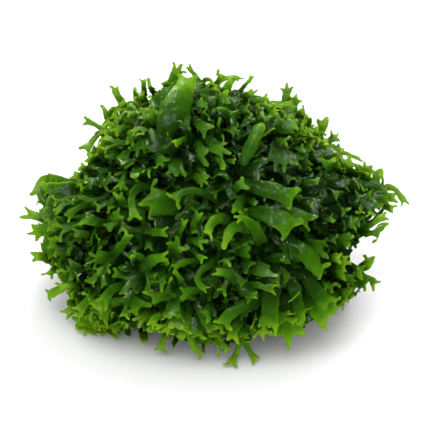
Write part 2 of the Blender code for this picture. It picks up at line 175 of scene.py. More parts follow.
# How far towards its horns' points a tip is webbed, and how far it has flared there
WEB = 0.74
FLARE = 0.68
# How wide a horn's point is, as a share of its foot and at most
HORN_POINT = 0.55
WIDEST_POINT = 0.00048
# Crumpling of the tissue: the size of the crumples and how far they push it
SOFT_CRUMPLE = (0.0018, 0.0006)
CRUMPLE = (0.0014, 0.0009)
FINE_CRUMPLE = (0.0012, 0.0007)
# How far cages stay off the floor, so that no crumple goes through it
FLOOR_GAP = 0.00055
# Lower than this a thallus turns its face up, until it lies on the floor
LYING_HEIGHT = 0.006
FLOOR_TURN = 2
# How much of a thallus may lie flat on the floor
GROUNDED = 0.25
# Smoothing draws a row's rims in by this much over its number of gaps
SMOOTHED = 0.6
# How often a surface is smoothed. Less does where there are many small thalli.
SHOWN_LEVELS = 2
FLANK_LEVELS = 1
OUTER_LEVELS = 1
INNER_LEVELS = 0

# The filling: the cells that count its crowding, how unevenly its places are spread, how often a
# thallus tries to grow at one, how far it strays, and its last try before any frilly form will do
CELL = 0.0009
SCATTER = 0.04
TRIES = 8
STRAY = 0.03
LAST_OWN_TRY = 4
# What seeds count from, so that each thallus always grows the same way, and where they end
SHOWN_SEEDS = 1000
LAYER_SEEDS = 100000
SEED_LIMIT = 10**8

# The matted cushion: its share of the form, its tone and sag, and its lumps' size and height
MAT_SHARE = 0.75
MAT_SUBDIVISIONS = 5
MAT_TONE = -0.02
MAT_SAG = 0.10
MAT_LUMPS = (0.0110, 0.0025)
MAT_CREASES = (0.0040, 0.0022)
MAT_FINE_CREASES = (0.0014, 0.0012)

# The part of a solid that counts as its tip lies beyond this share of its length
TIP_START = 0.8

# Colour of tissue, from old and dark to young and pale; the dark end also stands for painted shade deep in
# the clump
TISSUE = (
    (0.00, (0.0054, 0.0212, 0.0020)),
    (0.25, (0.0098, 0.0400, 0.0020)),
    (0.50, (0.0185, 0.0790, 0.0020)),
    (0.75, (0.0510, 0.1540, 0.0024)),
    (1.00, (0.1420, 0.2880, 0.0080)),
)
# Its place in that row: a start, and what being far out (younger tissue, less painted shade), grown, at a rim
# (painted light through the thin rim) or mottled adds
START_LIGHT = -1.60
DEPTH_AGE_AND_SHADE = 1.9
GROWN_LIGHT = 0.40
GROWN_POWER = 2.2
RIM_PAINTED_LIGHT = 0.07
MOTTLE_LIGHT = 0.60
# Noise over it, as a scale and its detail: mottles, spots of wet film and bumps
MOTTLES = (420.0, 6.0)
FILM_SPOTS = (300.0, 2.0)
BUMPS = (2000.0, 2.0)
# The wet film: how sharply it ends, its roughness, and how much of it lies on each kind of thallus
FILM_EDGE = 3.0
FILM_START = -1.2
FILM_ROUGHNESS = 0.07
FRILL_WETNESS = 1.0
FILLING_WETNESS = 0.6
SMOOTH_WETNESS = 0.25
# How high bumps are where tissue is dry, and how much higher where it is wet
BUMP_STRENGTH = 0.5
DRY_BUMP = 0.00006
WET_BUMP = 0.0006
# Gloss of smooth and wet tissue: its specular level and its roughness where no film lies
SMOOTH_GLOSS = (0.12, 0.22)
WET_GLOSS = (0.5, 0.16)
TISSUE_IOR = 1.36
# Light that spreads in the tissue
SPREAD_WEIGHT = 0.6
SPREAD_COLOUR = (0.8, 1.0, 0.25)
SPREAD_REACH = 0.0008

# Soft studio lights, as the direction they come from and their power
LIGHT_DISTANCE = 0.8
LIGHT_SIZE = 0.60
LIGHTS = {
    "key": ((-0.2, -0.75, 1.25), 3.5),
    "front": ((0.0, -1.0, 0.15), 2.0),
    "back": ((0.4, 0.9, 0.8), 4.0),
}
# Small lights all round, each mirrored as a glint where wet tissue faces it
GLINT_SIZE = 0.10
GLINT_POWER = 3.6
GLINT_DIRECTIONS = ((0.3, -0.9, 1.1), (-0.7, -0.7, 0.9), (0.1, 0.1, 1.0), (0.1, 0.9, 0.8))
# What being mirrored takes off the strength of the pale surroundings
MIRROR_LOSS = -0.95
FLOOR_SIZE = 4.0
FLOOR_GREY = 0.86
FLOOR_ROUGHNESS = 0.9
SENSOR_WIDTH = 36.0
CLIP_START = 0.01

# Tones of shown thalli
PALE = 0.20
BRIGHT = 0.13
DARK = -0.12
# Where a sprig's two horns lie from its tip, and its width at the foot, as shares of its width
HORNS_AHEAD = 0.65
HORNS_ASIDE = 0.48
SPRIG_FOOT = 0.9


class Lobe(NamedTuple):
    """A thallus as the picture shows it. Its path, widths and ends are in pixels.

    An end is the pixel of a horn's point, or a branch with a path, widths and ends of its own.
    """

    path: tuple
    widths: tuple
    ends: tuple = ()
    tone: float = 0.1
    curl: float = 1.3
    shares: tuple = (0.84, 1.0)


def sprig(foot, tip, width, tone=0.1):
    """A short thallus with an even pair of horns."""
    ahead = (Vector(tip) - Vector(foot)).normalized()
    aside = Vector((-ahead.y, ahead.x)) * width * HORNS_ASIDE
    middle = Vector(tip) + ahead * width * HORNS_AHEAD
    horns = (tuple(middle - aside), tuple(middle + aside))
    return Lobe((foot, tip), (width * SPRIG_FOOT, width), horns, tone)


# The main thalli, each in place of the solid of its name
NAMED_LOBES = {
    "crown_fork": Lobe(
        ((166, 94), (171, 83), (176, 74)), (11, 10, 11), ((173, 63), (182, 64), (186, 73)), BRIGHT
    ),
    "crown_strap": Lobe(((200, 84), (196, 76), (191, 70)), (10, 6, 6), ((186, 68), (190, 64)), BRIGHT),
    "crown_leaf": Lobe(
        ((161, 142), (167, 128), (173, 112), (182, 97), (187, 84)),
        (14, 25, 34, 28, 21),
        ((179, 76), (197, 77)),
        0.14,
        0.7,
    ),
    "crown_hook": Lobe(((220, 101), (227, 88), (233, 78), (239, 81)), (18, 11, 7, 3), (), BRIGHT),
    "crown_antler_right": Lobe(((237, 95), (245, 86), (251, 79)), (7, 4, 5), ((250, 75), (254, 77)), PALE),
    "shoulder_strap_right": Lobe(
        ((244, 101), (255, 101), (265, 99)), (6, 6, 7), ((268, 94), (268, 101)), BRIGHT
    ),
    "shoulder_frill_right": Lobe(
        ((284, 108), (285, 98), (287, 92)), (9, 8, 11), ((281, 88), (287, 83), (293, 88)), PALE
    ),
    "shoulder_fork_left": Lobe(
        ((110, 134), (99, 129)),
        (11, 11),
        (
            (((92, 123),), (6, 6), ((84, 117), (84, 125))),
            (((95, 138), (88, 146)), (7, 7), ((80, 149), (89, 153))),
        ),
        BRIGHT,
    ),
    "shoulder_strap_left": Lobe(((110, 123), (107, 115)), (9, 9), ((101, 106), (114, 106)), BRIGHT),
    "shoulder_peg_left": Lobe(((144, 96), (144, 88), (143.5, 83)), (8, 6, 6), ((141, 80), (146, 80)), BRIGHT),
    "flank_bent_ribbon_left": Lobe(
        ((78, 186), (66, 182), (54, 179), (46, 178), (41, 184), (37, 191)),
        (10, 11, 11, 11, 11, 11),
        ((30, 195), (38, 200)),
        BRIGHT,
    ),
    "flank_frill_left": Lobe(((54, 224), (43, 218)), (10, 10), ((26, 208), (21, 217)), PALE),
    "flank_fork_left_low": Lobe(
        ((60, 262), (48, 258), (42, 256)), (15, 13, 11), ((32, 253), (33, 261)), PALE
    ),
    "front_peg_upper": Lobe(((186, 138), (179, 141), (173, 145)), (10, 13, 12), (), 0.16, 4.8, (0.86, 1.04)),
    "front_star_upper": Lobe(((192, 118), (199, 123), (204, 127)), (10, 12, 13), ((213, 126), (205, 138))),
    "front_comb": Lobe(
        ((206, 136), (214, 144), (218, 148)), (12, 16, 18), ((223, 136), (227, 143), (230, 153), (221, 159))
    ),
    "front_tooth": Lobe(((193, 173), (198, 178)), (8, 10), ((209, 176), (208, 183), (201, 187)), BRIGHT),
    "front_leaf_left": Lobe(
        ((182, 208), (168, 204), (156, 201)), (14, 26, 30), ((150, 218), (139, 204), (157, 181)), 0.14, 0.9
    ),
    "front_arch": Lobe(
        ((218, 203), (205, 194), (191, 190), (181, 193), (177, 197)),
        (6, 8, 9, 9, 10),
        ((167, 194), (179, 208)),
    ),
    "front_peg_left": Lobe(
        ((126, 166), (124, 175), (122, 183)), (8, 6, 8), ((115, 188), (121, 190), (127, 189))
    ),
    "front_ribbon_right": Lobe(
        ((242, 166), (248, 152), (255, 137), (262, 124)), (9, 15, 16, 13), (), 0.1, 2.0, (0.93, 0.98)
    ),
    "front_tube": Lobe(
        ((240, 182), (256, 186), (272, 190), (285, 195)),
        (15, 18, 19, 18),
        ((300, 190), (289, 209)),
        0.09,
        2.4,
    ),
    "front_leaf_right": Lobe(
        ((246, 211), (262, 212), (276, 217), (286, 223)),
        (10, 19, 23, 23),
        ((302, 221), (283, 240)),
        0.15,
        1.0,
    ),
    "front_ribbon_centre": Lobe(
        ((252, 232), (242, 226), (232, 228), (226, 238), (223, 250)), (12, 14, 13, 10, 5), (), 0.27
    ),
    "front_hook_right": Lobe(
        ((277, 246), (292, 246), (305, 252), (313, 262), (318, 270)),
        (8, 15, 21, 19, 13),
        ((330, 264), (319, 279)),
        0.16,
    ),
    "front_knuckle": Lobe(
        ((142, 270), (150, 262), (158, 258)), (18, 13, 10), ((168, 253), (168, 261)), 0.20, 1.8
    ),
    "front_bow": Lobe(
        ((206, 263), (194, 260), (184, 262), (177, 266)), (6, 7, 7, 7), ((172, 265), (173, 272)), 0.14
    ),
    "front_antler_low": Lobe(
        ((184, 290), (173, 294), (162, 296)), (9, 9, 11), ((143, 293), (154, 304)), 0.16
    ),
    "front_antler_middle": Lobe(
        ((220, 260), (206, 266), (197, 276), (200, 285)), (8, 9, 8, 7), ((206, 293), (210, 288))
    ),
    "skirt_fork_left": Lobe(((86, 292), (76, 286), (67, 285)), (10, 8, 6), ((56, 284), (60, 293)), PALE),
    "skirt_antler_left": Lobe(
        ((156, 306), (147, 314)),
        (9, 11),
        ((((139, 317), (131, 321)), (5, 5), ()), (((142, 321), (138, 328)), (6, 5), ())),
        BRIGHT,
    ),
    "skirt_antler_middle": Lobe(
        ((172, 326), (165, 335), (162, 342)), (9, 7, 8), ((155, 350), (166, 353)), BRIGHT
    ),
    "skirt_fork_middle": Lobe(
        ((240, 328), (243, 344)),
        (9, 14),
        (
            (((236, 353), (232, 359)), (7, 7), ((224, 365), (237, 368))),
            (((250, 352), (253, 357)), (7, 6), ((259, 357), (254, 365))),
        ),
        BRIGHT,
    ),
    "skirt_leaf_right": Lobe(
        ((284, 292), (286, 310), (287, 322)), (20, 30, 32), ((288, 348), (304, 333), (272, 334)), 0.0, 1.0
    ),
    "skirt_leaf_corner": Lobe(
        ((305, 282), (312, 296), (318, 306)), (18, 26, 28), ((325, 328), (334, 312)), -0.02, 1.0
    ),
    "flank_spray_right": Lobe(
        ((345, 277), (356, 275), (364, 271)),
        (12, 15, 19),
        (
            (((368, 264),), (14, 12), ((365, 255), (374, 257))),
            (((371, 279),), (11, 9), ((380, 281), (374, 291))),
        ),
        0.0,
    ),
    "flank_antler_right": Lobe(
        ((358, 231), (369, 226), (378, 220)), (10, 7, 7), ((386, 212), (388, 219)), 0.06
    ),
    "flank_strap_right": Lobe(
        ((384, 188), (394, 187), (401, 196)), (9, 8, 7), ((402, 206), (409, 204)), BRIGHT
    ),
    "flank_frill_right": Lobe(
        ((345, 174), (347, 166)), (14, 16), ((339, 156), (350, 156), (357, 166)), 0.16
    ),
    "flank_frill_shoulder": Lobe(
        ((317, 140), (321, 131), (323, 126)), (9, 10, 11), ((318, 119), (326, 117)), PALE
    ),
}

# The other thalli that can be told apart in the picture, by region
CROWN_LOBES = (
    Lobe(((122, 104), (117, 95), (115, 90)), (9, 6, 7), ((110, 86), (118, 86)), BRIGHT),
    Lobe(((136, 100), (135, 92), (135, 86)), (7, 5, 4), (), BRIGHT),
    Lobe(((155, 95), (150, 86), (148, 78)), (9, 5, 4), (), PALE),
    sprig((168, 92), (165, 85), 6, BRIGHT),
    Lobe(((211, 88), (218, 81), (221, 77)), (7, 5, 6), ((219, 70), (224, 79)), BRIGHT),
    Lobe(((201, 86), (205, 79), (212, 81), (214, 86)), (7, 5, 5, 4)),
    Lobe(((211, 107), (219, 102), (223, 98)), (12, 14, 13), ((228, 91), (229, 103)), BRIGHT),
    Lobe(((194, 103), (201, 104)), (9, 12), ((202, 98), (207, 104), (203, 111)), BRIGHT),
    Lobe(((158, 129), (152, 120)), (11, 9), ((143, 114), (152, 110))),
    Lobe(((161, 126), (158, 116)), (9, 8), ((153, 108), (162, 110)), BRIGHT),
    Lobe(((217, 136), (219, 126), (219, 117)), (5, 5, 2)),
    Lobe(((230, 123), (229, 114), (224, 109), (217, 109)), (5, 5, 5, 3)),
    Lobe(((223, 129), (230, 129)), (8, 10), ((238, 125), (239, 131), (234, 136))),
    Lobe(((138, 127), (129, 127), (121, 128)), (8, 7, 8), ((111, 131), (117, 136)), BRIGHT),
    Lobe(((131, 126), (130, 136)), (8, 9), ((126, 143), (132, 146)), BRIGHT),
    Lobe(((148, 134), (142, 144)), (12, 17), ((130, 147), (136, 157), (145, 154), (153, 152)), 0.02),
    Lobe(((130, 144), (126, 153)), (9, 11), ((118, 158), (125, 168))),
    Lobe(((138, 164), (136, 171), (134, 178)), (10, 12, 10), (), 0.06, 1.8, (0.86, 1.04)),
    Lobe(((139, 167), (144, 172)), (8, 6)),
    Lobe(((154, 165), (149, 170), (149, 178)), (4, 5, 3), (), BRIGHT),
    Lobe(((154, 154), (160, 160)), (9, 12), ((155, 168), (163, 166), (168, 160))),
    Lobe(((178, 157), (176, 166)), (9, 16), ((167, 172), (176, 176), (185, 177))),
    Lobe(((196, 140), (200, 150)), (9, 13), ((208, 150), (208, 166)), BRIGHT),
    Lobe(((210, 160), (217, 158), (222, 163), (223, 170)), (4, 7, 8, 7)),
    sprig((224, 160), (231, 161), 6),
    Lobe(((200, 164), (203, 172), (208, 179)), (6, 7, 6)),
    Lobe(((238, 99), (248, 95)), (10, 8), ((252, 91), (257, 89)), BRIGHT),
    sprig((188, 112), (186, 122), 10, 0.0),
    sprig((177, 95), (173, 102), 8, 0.05),
    sprig((206, 92), (213, 90), 8, 0.14),
    Lobe(((147, 103), (142, 98)), (9, 9), ((137, 93), (144, 91)), 0.12),
    sprig((128, 112), (124, 106), 8, 0.12),
    Lobe(((236, 112), (243, 108)), (9, 10), ((249, 104), (250, 112)), 0.05),
)

PALE_SHOULDER_LOBES = (
    Lobe(((292, 110), (294, 103)), (9, 12), ((290, 95), (297, 93), (301, 101)), PALE),
    Lobe(((299, 120), (301, 113)), (9, 10), ((303, 106), (307, 115)), PALE),
    Lobe(((308, 127), (310, 118)), (7, 6), (), PALE),
    Lobe(((331, 139), (332, 129)), (5, 2), (), PALE),
    sprig((328, 141), (334, 139), 8, PALE),
    Lobe(((336, 154), (339, 148)), (9, 9), ((338, 142), (344, 150)), BRIGHT),
    sprig((330, 176), (329, 166), 12, BRIGHT),
    Lobe(((349, 169), (349, 160)), (5, 3), (), PALE),
    Lobe(((359, 172), (354, 163)), (6, 3), (), PALE),
    Lobe(((366, 178), (366, 171)), (10, 13), ((360, 165), (365, 162), (372, 166)), PALE),
    sprig((376, 181), (376, 175), 10, PALE),
    Lobe(((384, 183), (381, 170)), (4, 3), (), PALE),
    Lobe(((279, 140), (280, 151)), (16, 25), ((267, 160), (276, 170), (284, 171), (296, 164)), 0.02),
    sprig((274, 138), (282, 140), 9, 0.1),
    Lobe(((271, 132), (282, 127), (290, 124)), (8, 11, 11), ((297, 120), (298, 129)), BRIGHT),
    Lobe(((296, 185), (306, 183), (314, 181)), (5, 7, 5), ((320, 179), (318, 184)), 0.1),
    sprig((262, 114), (266, 108), 9, BRIGHT),
    sprig((275, 116), (277, 109), 10, BRIGHT),
    Lobe(((308, 142), (312, 134)), (11, 12), ((306, 129), (317, 127)), 0.12),
    sprig((290, 133), (298, 131), 11, 0.1),
    Lobe(((292, 152), (299, 148)), (10, 10), ((304, 144), (305, 152)), 0.0),
    sprig((256, 128), (262, 120), 10, 0.12),
)

RIGHT_LOBES = (
    sprig((371, 203), (371, 211), 8, PALE),
    sprig((384, 196), (391, 197), 10, PALE),
    sprig((383, 206), (390, 208), 8, PALE),
    sprig((362, 199), (361, 208), 8, BRIGHT),
    Lobe(((357, 232), (367, 234), (375, 232)), (10, 8, 7), ((388, 224), (373, 243)), -0.02),
    sprig((329, 273), (337, 273), 13, BRIGHT),
    Lobe(((320, 276), (328, 283)), (11, 15), ((325, 291), (333, 292), (340, 287)), BRIGHT),
    sprig((326, 258), (334, 258), 11, BRIGHT),
    Lobe(((262, 208), (279, 209), (296, 214)), (8, 15, 18), ((317, 218), (309, 230)), 0.1, 1.0, (0.82, 0.96)),
    Lobe(
        ((295, 248), (307, 243), (317, 246)), (8, 13, 13), ((323, 242), (328, 257)), 0.12, 1.3, (0.82, 0.97)
    ),
    Lobe(((248, 266), (258, 269)), (12, 14), ((268, 265), (277, 275)), 0.1),
    Lobe(((242, 284), (256, 285), (266, 287)), (6, 7, 8), ((277, 285), (276, 294)), BRIGHT),
    Lobe(((237, 292), (248, 295)), (5, 6), ((257, 293), (257, 298)), BRIGHT),
    Lobe(((320, 214), (328, 218)), (9, 10), ((333, 214), (335, 222)), 0.0),
    sprig((336, 200), (342, 207), 11, 0.02),
    sprig((300, 200), (309, 203), 9, -0.02),
    sprig((338, 232), (345, 237), 11, DARK),
    sprig((322, 236), (330, 238), 10, DARK),
    sprig((352, 188), (357, 194), 10, 0.05),
    sprig((328, 188), (334, 192), 9, 0.02),
    Lobe(((340, 290), (347, 286)), (11, 11), ((354, 281), (354, 290)), DARK),
    Lobe(((328, 262), (340, 262)), (14, 16), ((349, 257), (351, 264), (346, 270)), 0.0),
    Lobe(((332, 278), (344, 278)), (14, 16), ((354, 273), (356, 281), (350, 287)), -0.06),
    sprig((330, 290), (341, 293), 14, -0.04),
    sprig((345, 268), (355, 270), 13, -0.04),
    sprig((320, 296), (330, 300), 13, -0.02),
    sprig((350, 280), (360, 283), 12, -0.04),
    sprig((330, 240), (341, 240), 13, DARK),
    sprig((338, 222), (349, 223), 12, -0.02),
)

CENTRE_LOBES = (
    Lobe(
        ((154, 188), (141, 186), (133, 192), (131, 204), (133, 212)),
        (8, 11, 10, 8, 8),
        ((128, 219), (141, 219)),
        0.16,
    ),
    Lobe(((142, 188), (136, 180)), (8, 4), (), 0.16),
    Lobe(((129, 209), (122, 201)), (10, 9), ((114, 193), (122, 192)), 0.14),
    Lobe(((189, 236), (193, 226), (198, 217)), (7, 7, 7), ((196, 211), (203, 213)), 0.12),
    Lobe(((177, 241), (180, 231), (183, 225)), (8, 9, 6), ((181, 219), (187, 220)), 0.12),
    Lobe(((186, 241), (196, 240)), (7, 10), ((202, 234), (208, 241), (203, 250)), BRIGHT),
    Lobe(((172, 261), (174, 249)), (12, 15), ((167, 245), (177, 237), (188, 247)), 0.12, 1.8),
    Lobe(((188, 247), (196, 254), (200, 258)), (6, 6, 7), ((201, 264), (207, 258)), 0.14),
    Lobe(((157, 266), (162, 274), (162, 281)), (8, 10, 10), ((152, 281), (162, 292), (171, 278)), BRIGHT),
    Lobe(((161, 269), (168, 262)), (7, 6), (), BRIGHT),
    Lobe(((148, 264), (140, 256)), (12, 11), ((134, 250), (130, 257)), 0.12),
    Lobe(((181, 290), (181, 280), (174, 271)), (9, 7, 6)),
    Lobe(((208, 293), (197, 290), (189, 291)), (9, 8, 9), ((181, 299), (181, 288))),
    Lobe(((237, 284), (230, 275), (223, 272)), (10, 10, 9), ((213, 274), (217, 269)), 0.12),
    Lobe(((219, 270), (219, 262), (226, 260), (231, 267)), (4, 4, 5, 4), (), 0.14),
    Lobe(((231, 221), (220, 217), (212, 222), (209, 230)), (12, 14, 12, 9), ((205, 231), (211, 239)), 0.28),
    Lobe(((263, 245), (257, 232), (249, 221), (242, 218)), (14, 15, 10, 7), ((234, 216), (238, 223)), 0.22),
    Lobe(((230, 195), (236, 188), (240, 184)), (8, 9, 9), ((242, 177), (249, 188)), BRIGHT),
    Lobe(((246, 197), (238, 205)), (12, 13), ((232, 213), (241, 214)), 0.12),
    Lobe(((266, 300), (250, 302), (236, 310), (226, 318)), (14, 14, 12, 13), ((214, 321), (230, 330)), 0.14),
    Lobe(((212, 301), (208, 309)), (8, 9), ((200, 311), (207, 323)), BRIGHT),
    Lobe(((126, 289), (132, 299)), (9, 10), ((135, 315), (150, 306)), 0.14),
    Lobe(((109, 260), (119, 248), (127, 238)), (10, 10, 9), ((126, 231), (133, 236)), 0.14),
    Lobe(((140, 224), (149, 232), (158, 232)), (8, 9, 9), ((167, 228), (167, 236)), 0.1),
    Lobe(((113, 259), (103, 258)), (14, 17), ((90, 253), (87, 263), (94, 269), (102, 248)), 0.14),
    Lobe(((130, 285), (119, 286), (109, 292)), (11, 12, 12), ((97, 301), (105, 310)), 0.14),
    Lobe(((97, 238), (84, 234)), (10, 9), ((72, 229), (75, 237)), 0.04),
    Lobe(((108, 224), (97, 221), (91, 220)), (10, 12, 12), ((79, 223), (87, 213)), 0.16),
    sprig((107, 220), (115, 216), 10, 0.14),
    Lobe(((95, 207), (85, 205), (75, 210)), (6, 7, 8), ((67, 222), (65, 215)), 0.16),
    Lobe(((112, 189), (103, 197), (92, 200), (78, 196)), (7, 7, 6, 5), (), -0.02),
    Lobe(((222, 219), (217, 209)), (6, 2)),
    Lobe(((101, 170), (103, 180)), (8, 8), ((99, 187), (107, 190)), 0.04),
    Lobe(((264, 262), (276, 258)), (10, 12), ((286, 253), (288, 263)), -0.02, 1.0, (0.8, 0.95)),
    Lobe(((228, 252), (240, 252)), (10, 12), ((250, 247), (250, 257)), -0.02, 1.0, (0.8, 0.95)),
    Lobe(((206, 222), (198, 229)), (7, 7), ((192, 232), (199, 235)), 0.05, 1.3, (0.8, 0.96)),
    Lobe(((154, 234), (150, 243)), (8, 8), ((145, 249), (153, 250)), 0.04, 1.3, (0.8, 0.96)),
    Lobe(((222, 184), (212, 187)), (8, 9), ((205, 183), (205, 191)), DARK, 1.3, (0.78, 0.93)),
)

SKIRT_LOBES = (
    Lobe(((172, 313), (162, 313), (154, 319)), (10, 10, 9), ((147, 324), (153, 329)), PALE),
    Lobe(((164, 323), (155, 328), (146, 331)), (9, 8, 4), (), BRIGHT),
    Lobe(((178, 321), (184, 330), (179, 339)), (11, 11, 9), (), BRIGHT, 1.8),
    Lobe(((191, 320), (190, 334), (194, 346)), (11, 9, 8), ((199, 359), (205, 353)), BRIGHT),
    Lobe(((204, 336), (204, 353)), (6, 3), (), 0.02),
    Lobe(
        ((215, 325), (219, 339)),
        (9, 10),
        ((((219, 348), (219, 358)), (5, 5), ()), (((224, 346),), (5, 6), ((226, 353), (231, 348)))),
        BRIGHT,
    ),
    Lobe(((246, 316), (238, 323), (233, 332)), (11, 11, 10), ((227, 339), (238, 344)), BRIGHT),
    Lobe(((256, 321), (262, 329)), (11, 14), ((255, 337), (263, 340), (271, 331)), BRIGHT),
    Lobe(((177, 334), (173, 348)), (8, 4), (), 0.0),
    Lobe(((142, 328), (145, 343)), (11, 8), (), 0.0),
    Lobe(((128, 328), (128, 337)), (7, 6), (), 0.05),
    Lobe(((278, 266), (274, 286), (270, 304)), (14, 19, 19), ((264, 330), (275, 334)), -0.06, 1.0),
    Lobe(((287, 270), (295, 290), (299, 308)), (12, 15, 14), ((299, 324),), -0.04, 1.0),
    Lobe(((300, 268), (310, 284), (320, 296)), (12, 16, 18), ((325, 309), (335, 302)), -0.04, 1.0),
    sprig((331, 301), (338, 303), 10, BRIGHT),
    Lobe(((247, 332), (248, 342)), (9, 8), (), DARK),
    sprig((268, 308), (266, 318), 13, 0.1),
    sprig((134, 318), (128, 322), 8, 0.1),
    sprig((186, 306), (182, 314), 9, 0.06),
    sprig((228, 338), (226, 346), 8, 0.0),
)

LIME_CORNER_LOBES = (
    Lobe(((71, 284), (66, 274), (61, 270), (56, 271)), (7, 5, 5, 4), (), PALE),
    Lobe(((80, 288), (78, 279), (76, 272)), (7, 4, 2), (), PALE),
    Lobe(((80, 300), (72, 294)), (9, 9), (), PALE),
    Lobe(((78, 302), (67, 303)), (8, 8), (), PALE),
    Lobe(((80, 308), (71, 311)), (10, 9), ((61, 311), (66, 319)), PALE),
    Lobe(((94, 298), (89, 313), (87, 325)), (16, 21, 21), ((76, 329), (83, 338), (95, 337)), PALE),
    Lobe(((102, 308), (102, 324)), (14, 18), ((94, 336), (102, 340), (114, 338)), PALE),
    Lobe(((107, 325), (111, 318), (113, 312)), (5, 4, 4), (), BRIGHT),
    Lobe(((106, 323), (113, 323), (120, 321)), (5, 4, 4), (), BRIGHT),
    Lobe(((117, 314), (124, 312), (131, 311)), (5, 4, 4), (), BRIGHT),
    sprig((86, 318), (80, 320), 10, PALE),
    sprig((108, 330), (115, 334), 8, BRIGHT),
    sprig((96, 286), (90, 292), 10, 0.14),
)

LEFT_LOBES = (
    Lobe(((84, 191), (70, 193), (57, 193)), (18, 25, 26), ((43, 184), (47, 207)), -0.04, 1.8),
    Lobe(((66, 216), (56, 222)), (17, 20), ((46, 219), (48, 231)), 0.02, 1.6),
    Lobe(((70, 238), (60, 246)), (17, 20), ((50, 245), (54, 256)), 0.02, 1.6),
    Lobe(((54, 230), (43, 230)), (13, 14), ((33, 225), (29, 234), (36, 241)), BRIGHT),
    Lobe(((64, 266), (53, 270)), (11, 9), ((44, 274), (52, 279)), BRIGHT),
    sprig((92, 172), (84, 168), 8, BRIGHT),
    sprig((100, 162), (92, 159), 9, BRIGHT),
    sprig((86, 181), (78, 177), 9, BRIGHT),
    Lobe(((62, 210), (54, 206)), (12, 13), ((46, 200), (44, 209)), 0.0),
    Lobe(((70, 198), (60, 194)), (12, 13), ((52, 188), (50, 197)), -0.02),
    sprig((72, 222), (62, 220), 13, 0.04),
    Lobe(((68, 246), (58, 243)), (13, 14), ((49, 238), (48, 248)), 0.04),
    Lobe(((84, 250), (76, 247)), (12, 12), ((69, 242), (68, 251)), DARK),
    sprig((86, 268), (76, 266), 12, -0.02),
    sprig((110, 152), (104, 147), 9, 0.1),
    sprig((116, 140), (111, 134), 8, 0.08),
    sprig((112, 170), (110, 160), 8, 0.04),
)

OTHER_LOBES = {
    "crown": CROWN_LOBES,
    "pale_shoulder": PALE_SHOULDER_LOBES,
    "right": RIGHT_LOBES,
    "centre": CENTRE_LOBES,
    "skirt": SKIRT_LOBES,
    "lime_corner": LIME_CORNER_LOBES,
    "left": LEFT_LOBES,
}

# Regions of frilled tissue, and those of the flanks, whose many small thalli need less smoothing
FRILLY_REGIONS = ("left", "right", "pale_shoulder", "lime_corner")
FLANKS = ("left", "right")


def outline_reach(angle):
    """How far the tips reach from the heart in the picture's plane, at an angle from its right."""
    place = (angle / OUTLINE_STEP) % len(OUTLINE)
    before = int(place)
    share = place - before
    smooth = share * share * (3 - 2 * share)
    after = (before + 1) % len(OUTLINE)
    return OUTLINE[before] * (1 - smooth) + OUTLINE[after] * smooth


def form_reach(direction):
    """How far the clump's form reaches from its heart along a unit direction."""
    right, up, near = (direction.dot(axis) for axis in (PICTURE_RIGHT, PICTURE_UP, TO_VIEWER))
    reach = outline_reach(math.atan2(up, right))
    return 1 / math.sqrt((right * right + up * up) / reach**2 + (near / DEPTH_REACH) ** 2)


def form_point(direction, share=1.0):
    """The point of the form along a direction, kept above the floor."""
    reach = form_reach(direction) * share
    floor_reach = (HEART.z - FLOOR_CLEARANCE) / -direction.z if direction.z < 0 else reach
    return HEART + direction * min(reach, floor_reach)


def share_of_form(point):
    away = point - HEART
    return min(away.length / form_reach(away.normalized()), FARTHEST_SHARE)


def picture_point(pixel, share=1.0):
    """The point of the form, scaled by share, that a pixel of the picture shows."""
    near = 0.0
    for _ in range(SETTLING_ROUNDS):
        scale = METRES_PER_PIXEL * (1 - near / VIEW_DISTANCE)
        right = (pixel[0] - PICTURE_CENTRE[0]) * scale
        up = (PICTURE_CENTRE[1] - pixel[1]) * scale
        reach = outline_reach(math.atan2(up, right)) * share
        outward = min(math.hypot(right, up) / reach, 1.0)
        near = DEPTH_REACH * share * math.sqrt(1 - outward * outward)
        floor_near = (FLOOR_CLEARANCE - HEART.z - up * PICTURE_UP.z) / TO_VIEWER.z
        near = max(near, floor_near)
    return HEART + PICTURE_RIGHT * right + PICTURE_UP * up + TO_VIEWER * near


def picture_pixel(point):
    """The pixel of the picture at which a point shows."""
    away = point - HEART
    scale = METRES_PER_PIXEL * (1 - away.dot(TO_VIEWER) / VIEW_DISTANCE)
    right, up = away.dot(PICTURE_RIGHT) / scale, away.dot(PICTURE_UP) / scale
    return PICTURE_CENTRE[0] + right, PICTURE_CENTRE[1] - up


WHORL = (picture_point(WHORL_PIXEL) - HEART).normalized()


def edge_depths():
    """How many pixels inside the tangle's edge each pixel lies. Outside the edge it is below 0."""
    down, across = numpy.mgrid[0:PICTURE_SIZE, 0:PICTURE_SIZE].astype(float)
    inside = numpy.zeros(across.shape, bool)
    nearest = numpy.full(across.shape, float(PICTURE_SIZE))
    for (x1, y1), (x2, y2) in zip(PICTURE_EDGE, PICTURE_EDGE[1:] + PICTURE_EDGE[:1]):
        run, drop = x2 - x1, y2 - y1
        if drop:
            inside ^= ((y1 > down) != (y2 > down)) & (across < x1 + run * (down - y1) / drop)
        along = ((across - x1) * run + (down - y1) * drop) / (run * run + drop * drop)
        along = numpy.clip(along, 0, 1)
        nearest = numpy.minimum(nearest, numpy.hypot(across - x1 - along * run, down - y1 - along * drop))
    return numpy.where(inside, nearest, -nearest)


EDGE_DEPTHS = edge_depths()


def edge_depth(point):
    across, down = (min(max(round(place), 0), PICTURE_SIZE - 1) for place in picture_pixel(point))
    return EDGE_DEPTHS[down, across]


def edge_light(point):
    """From 0 to 1, how near tissue is to the tangle's edge, where it is thin and light comes through."""
    return max(0.0, min(1.0, 1 - edge_depth(point) / EDGE_BAND))


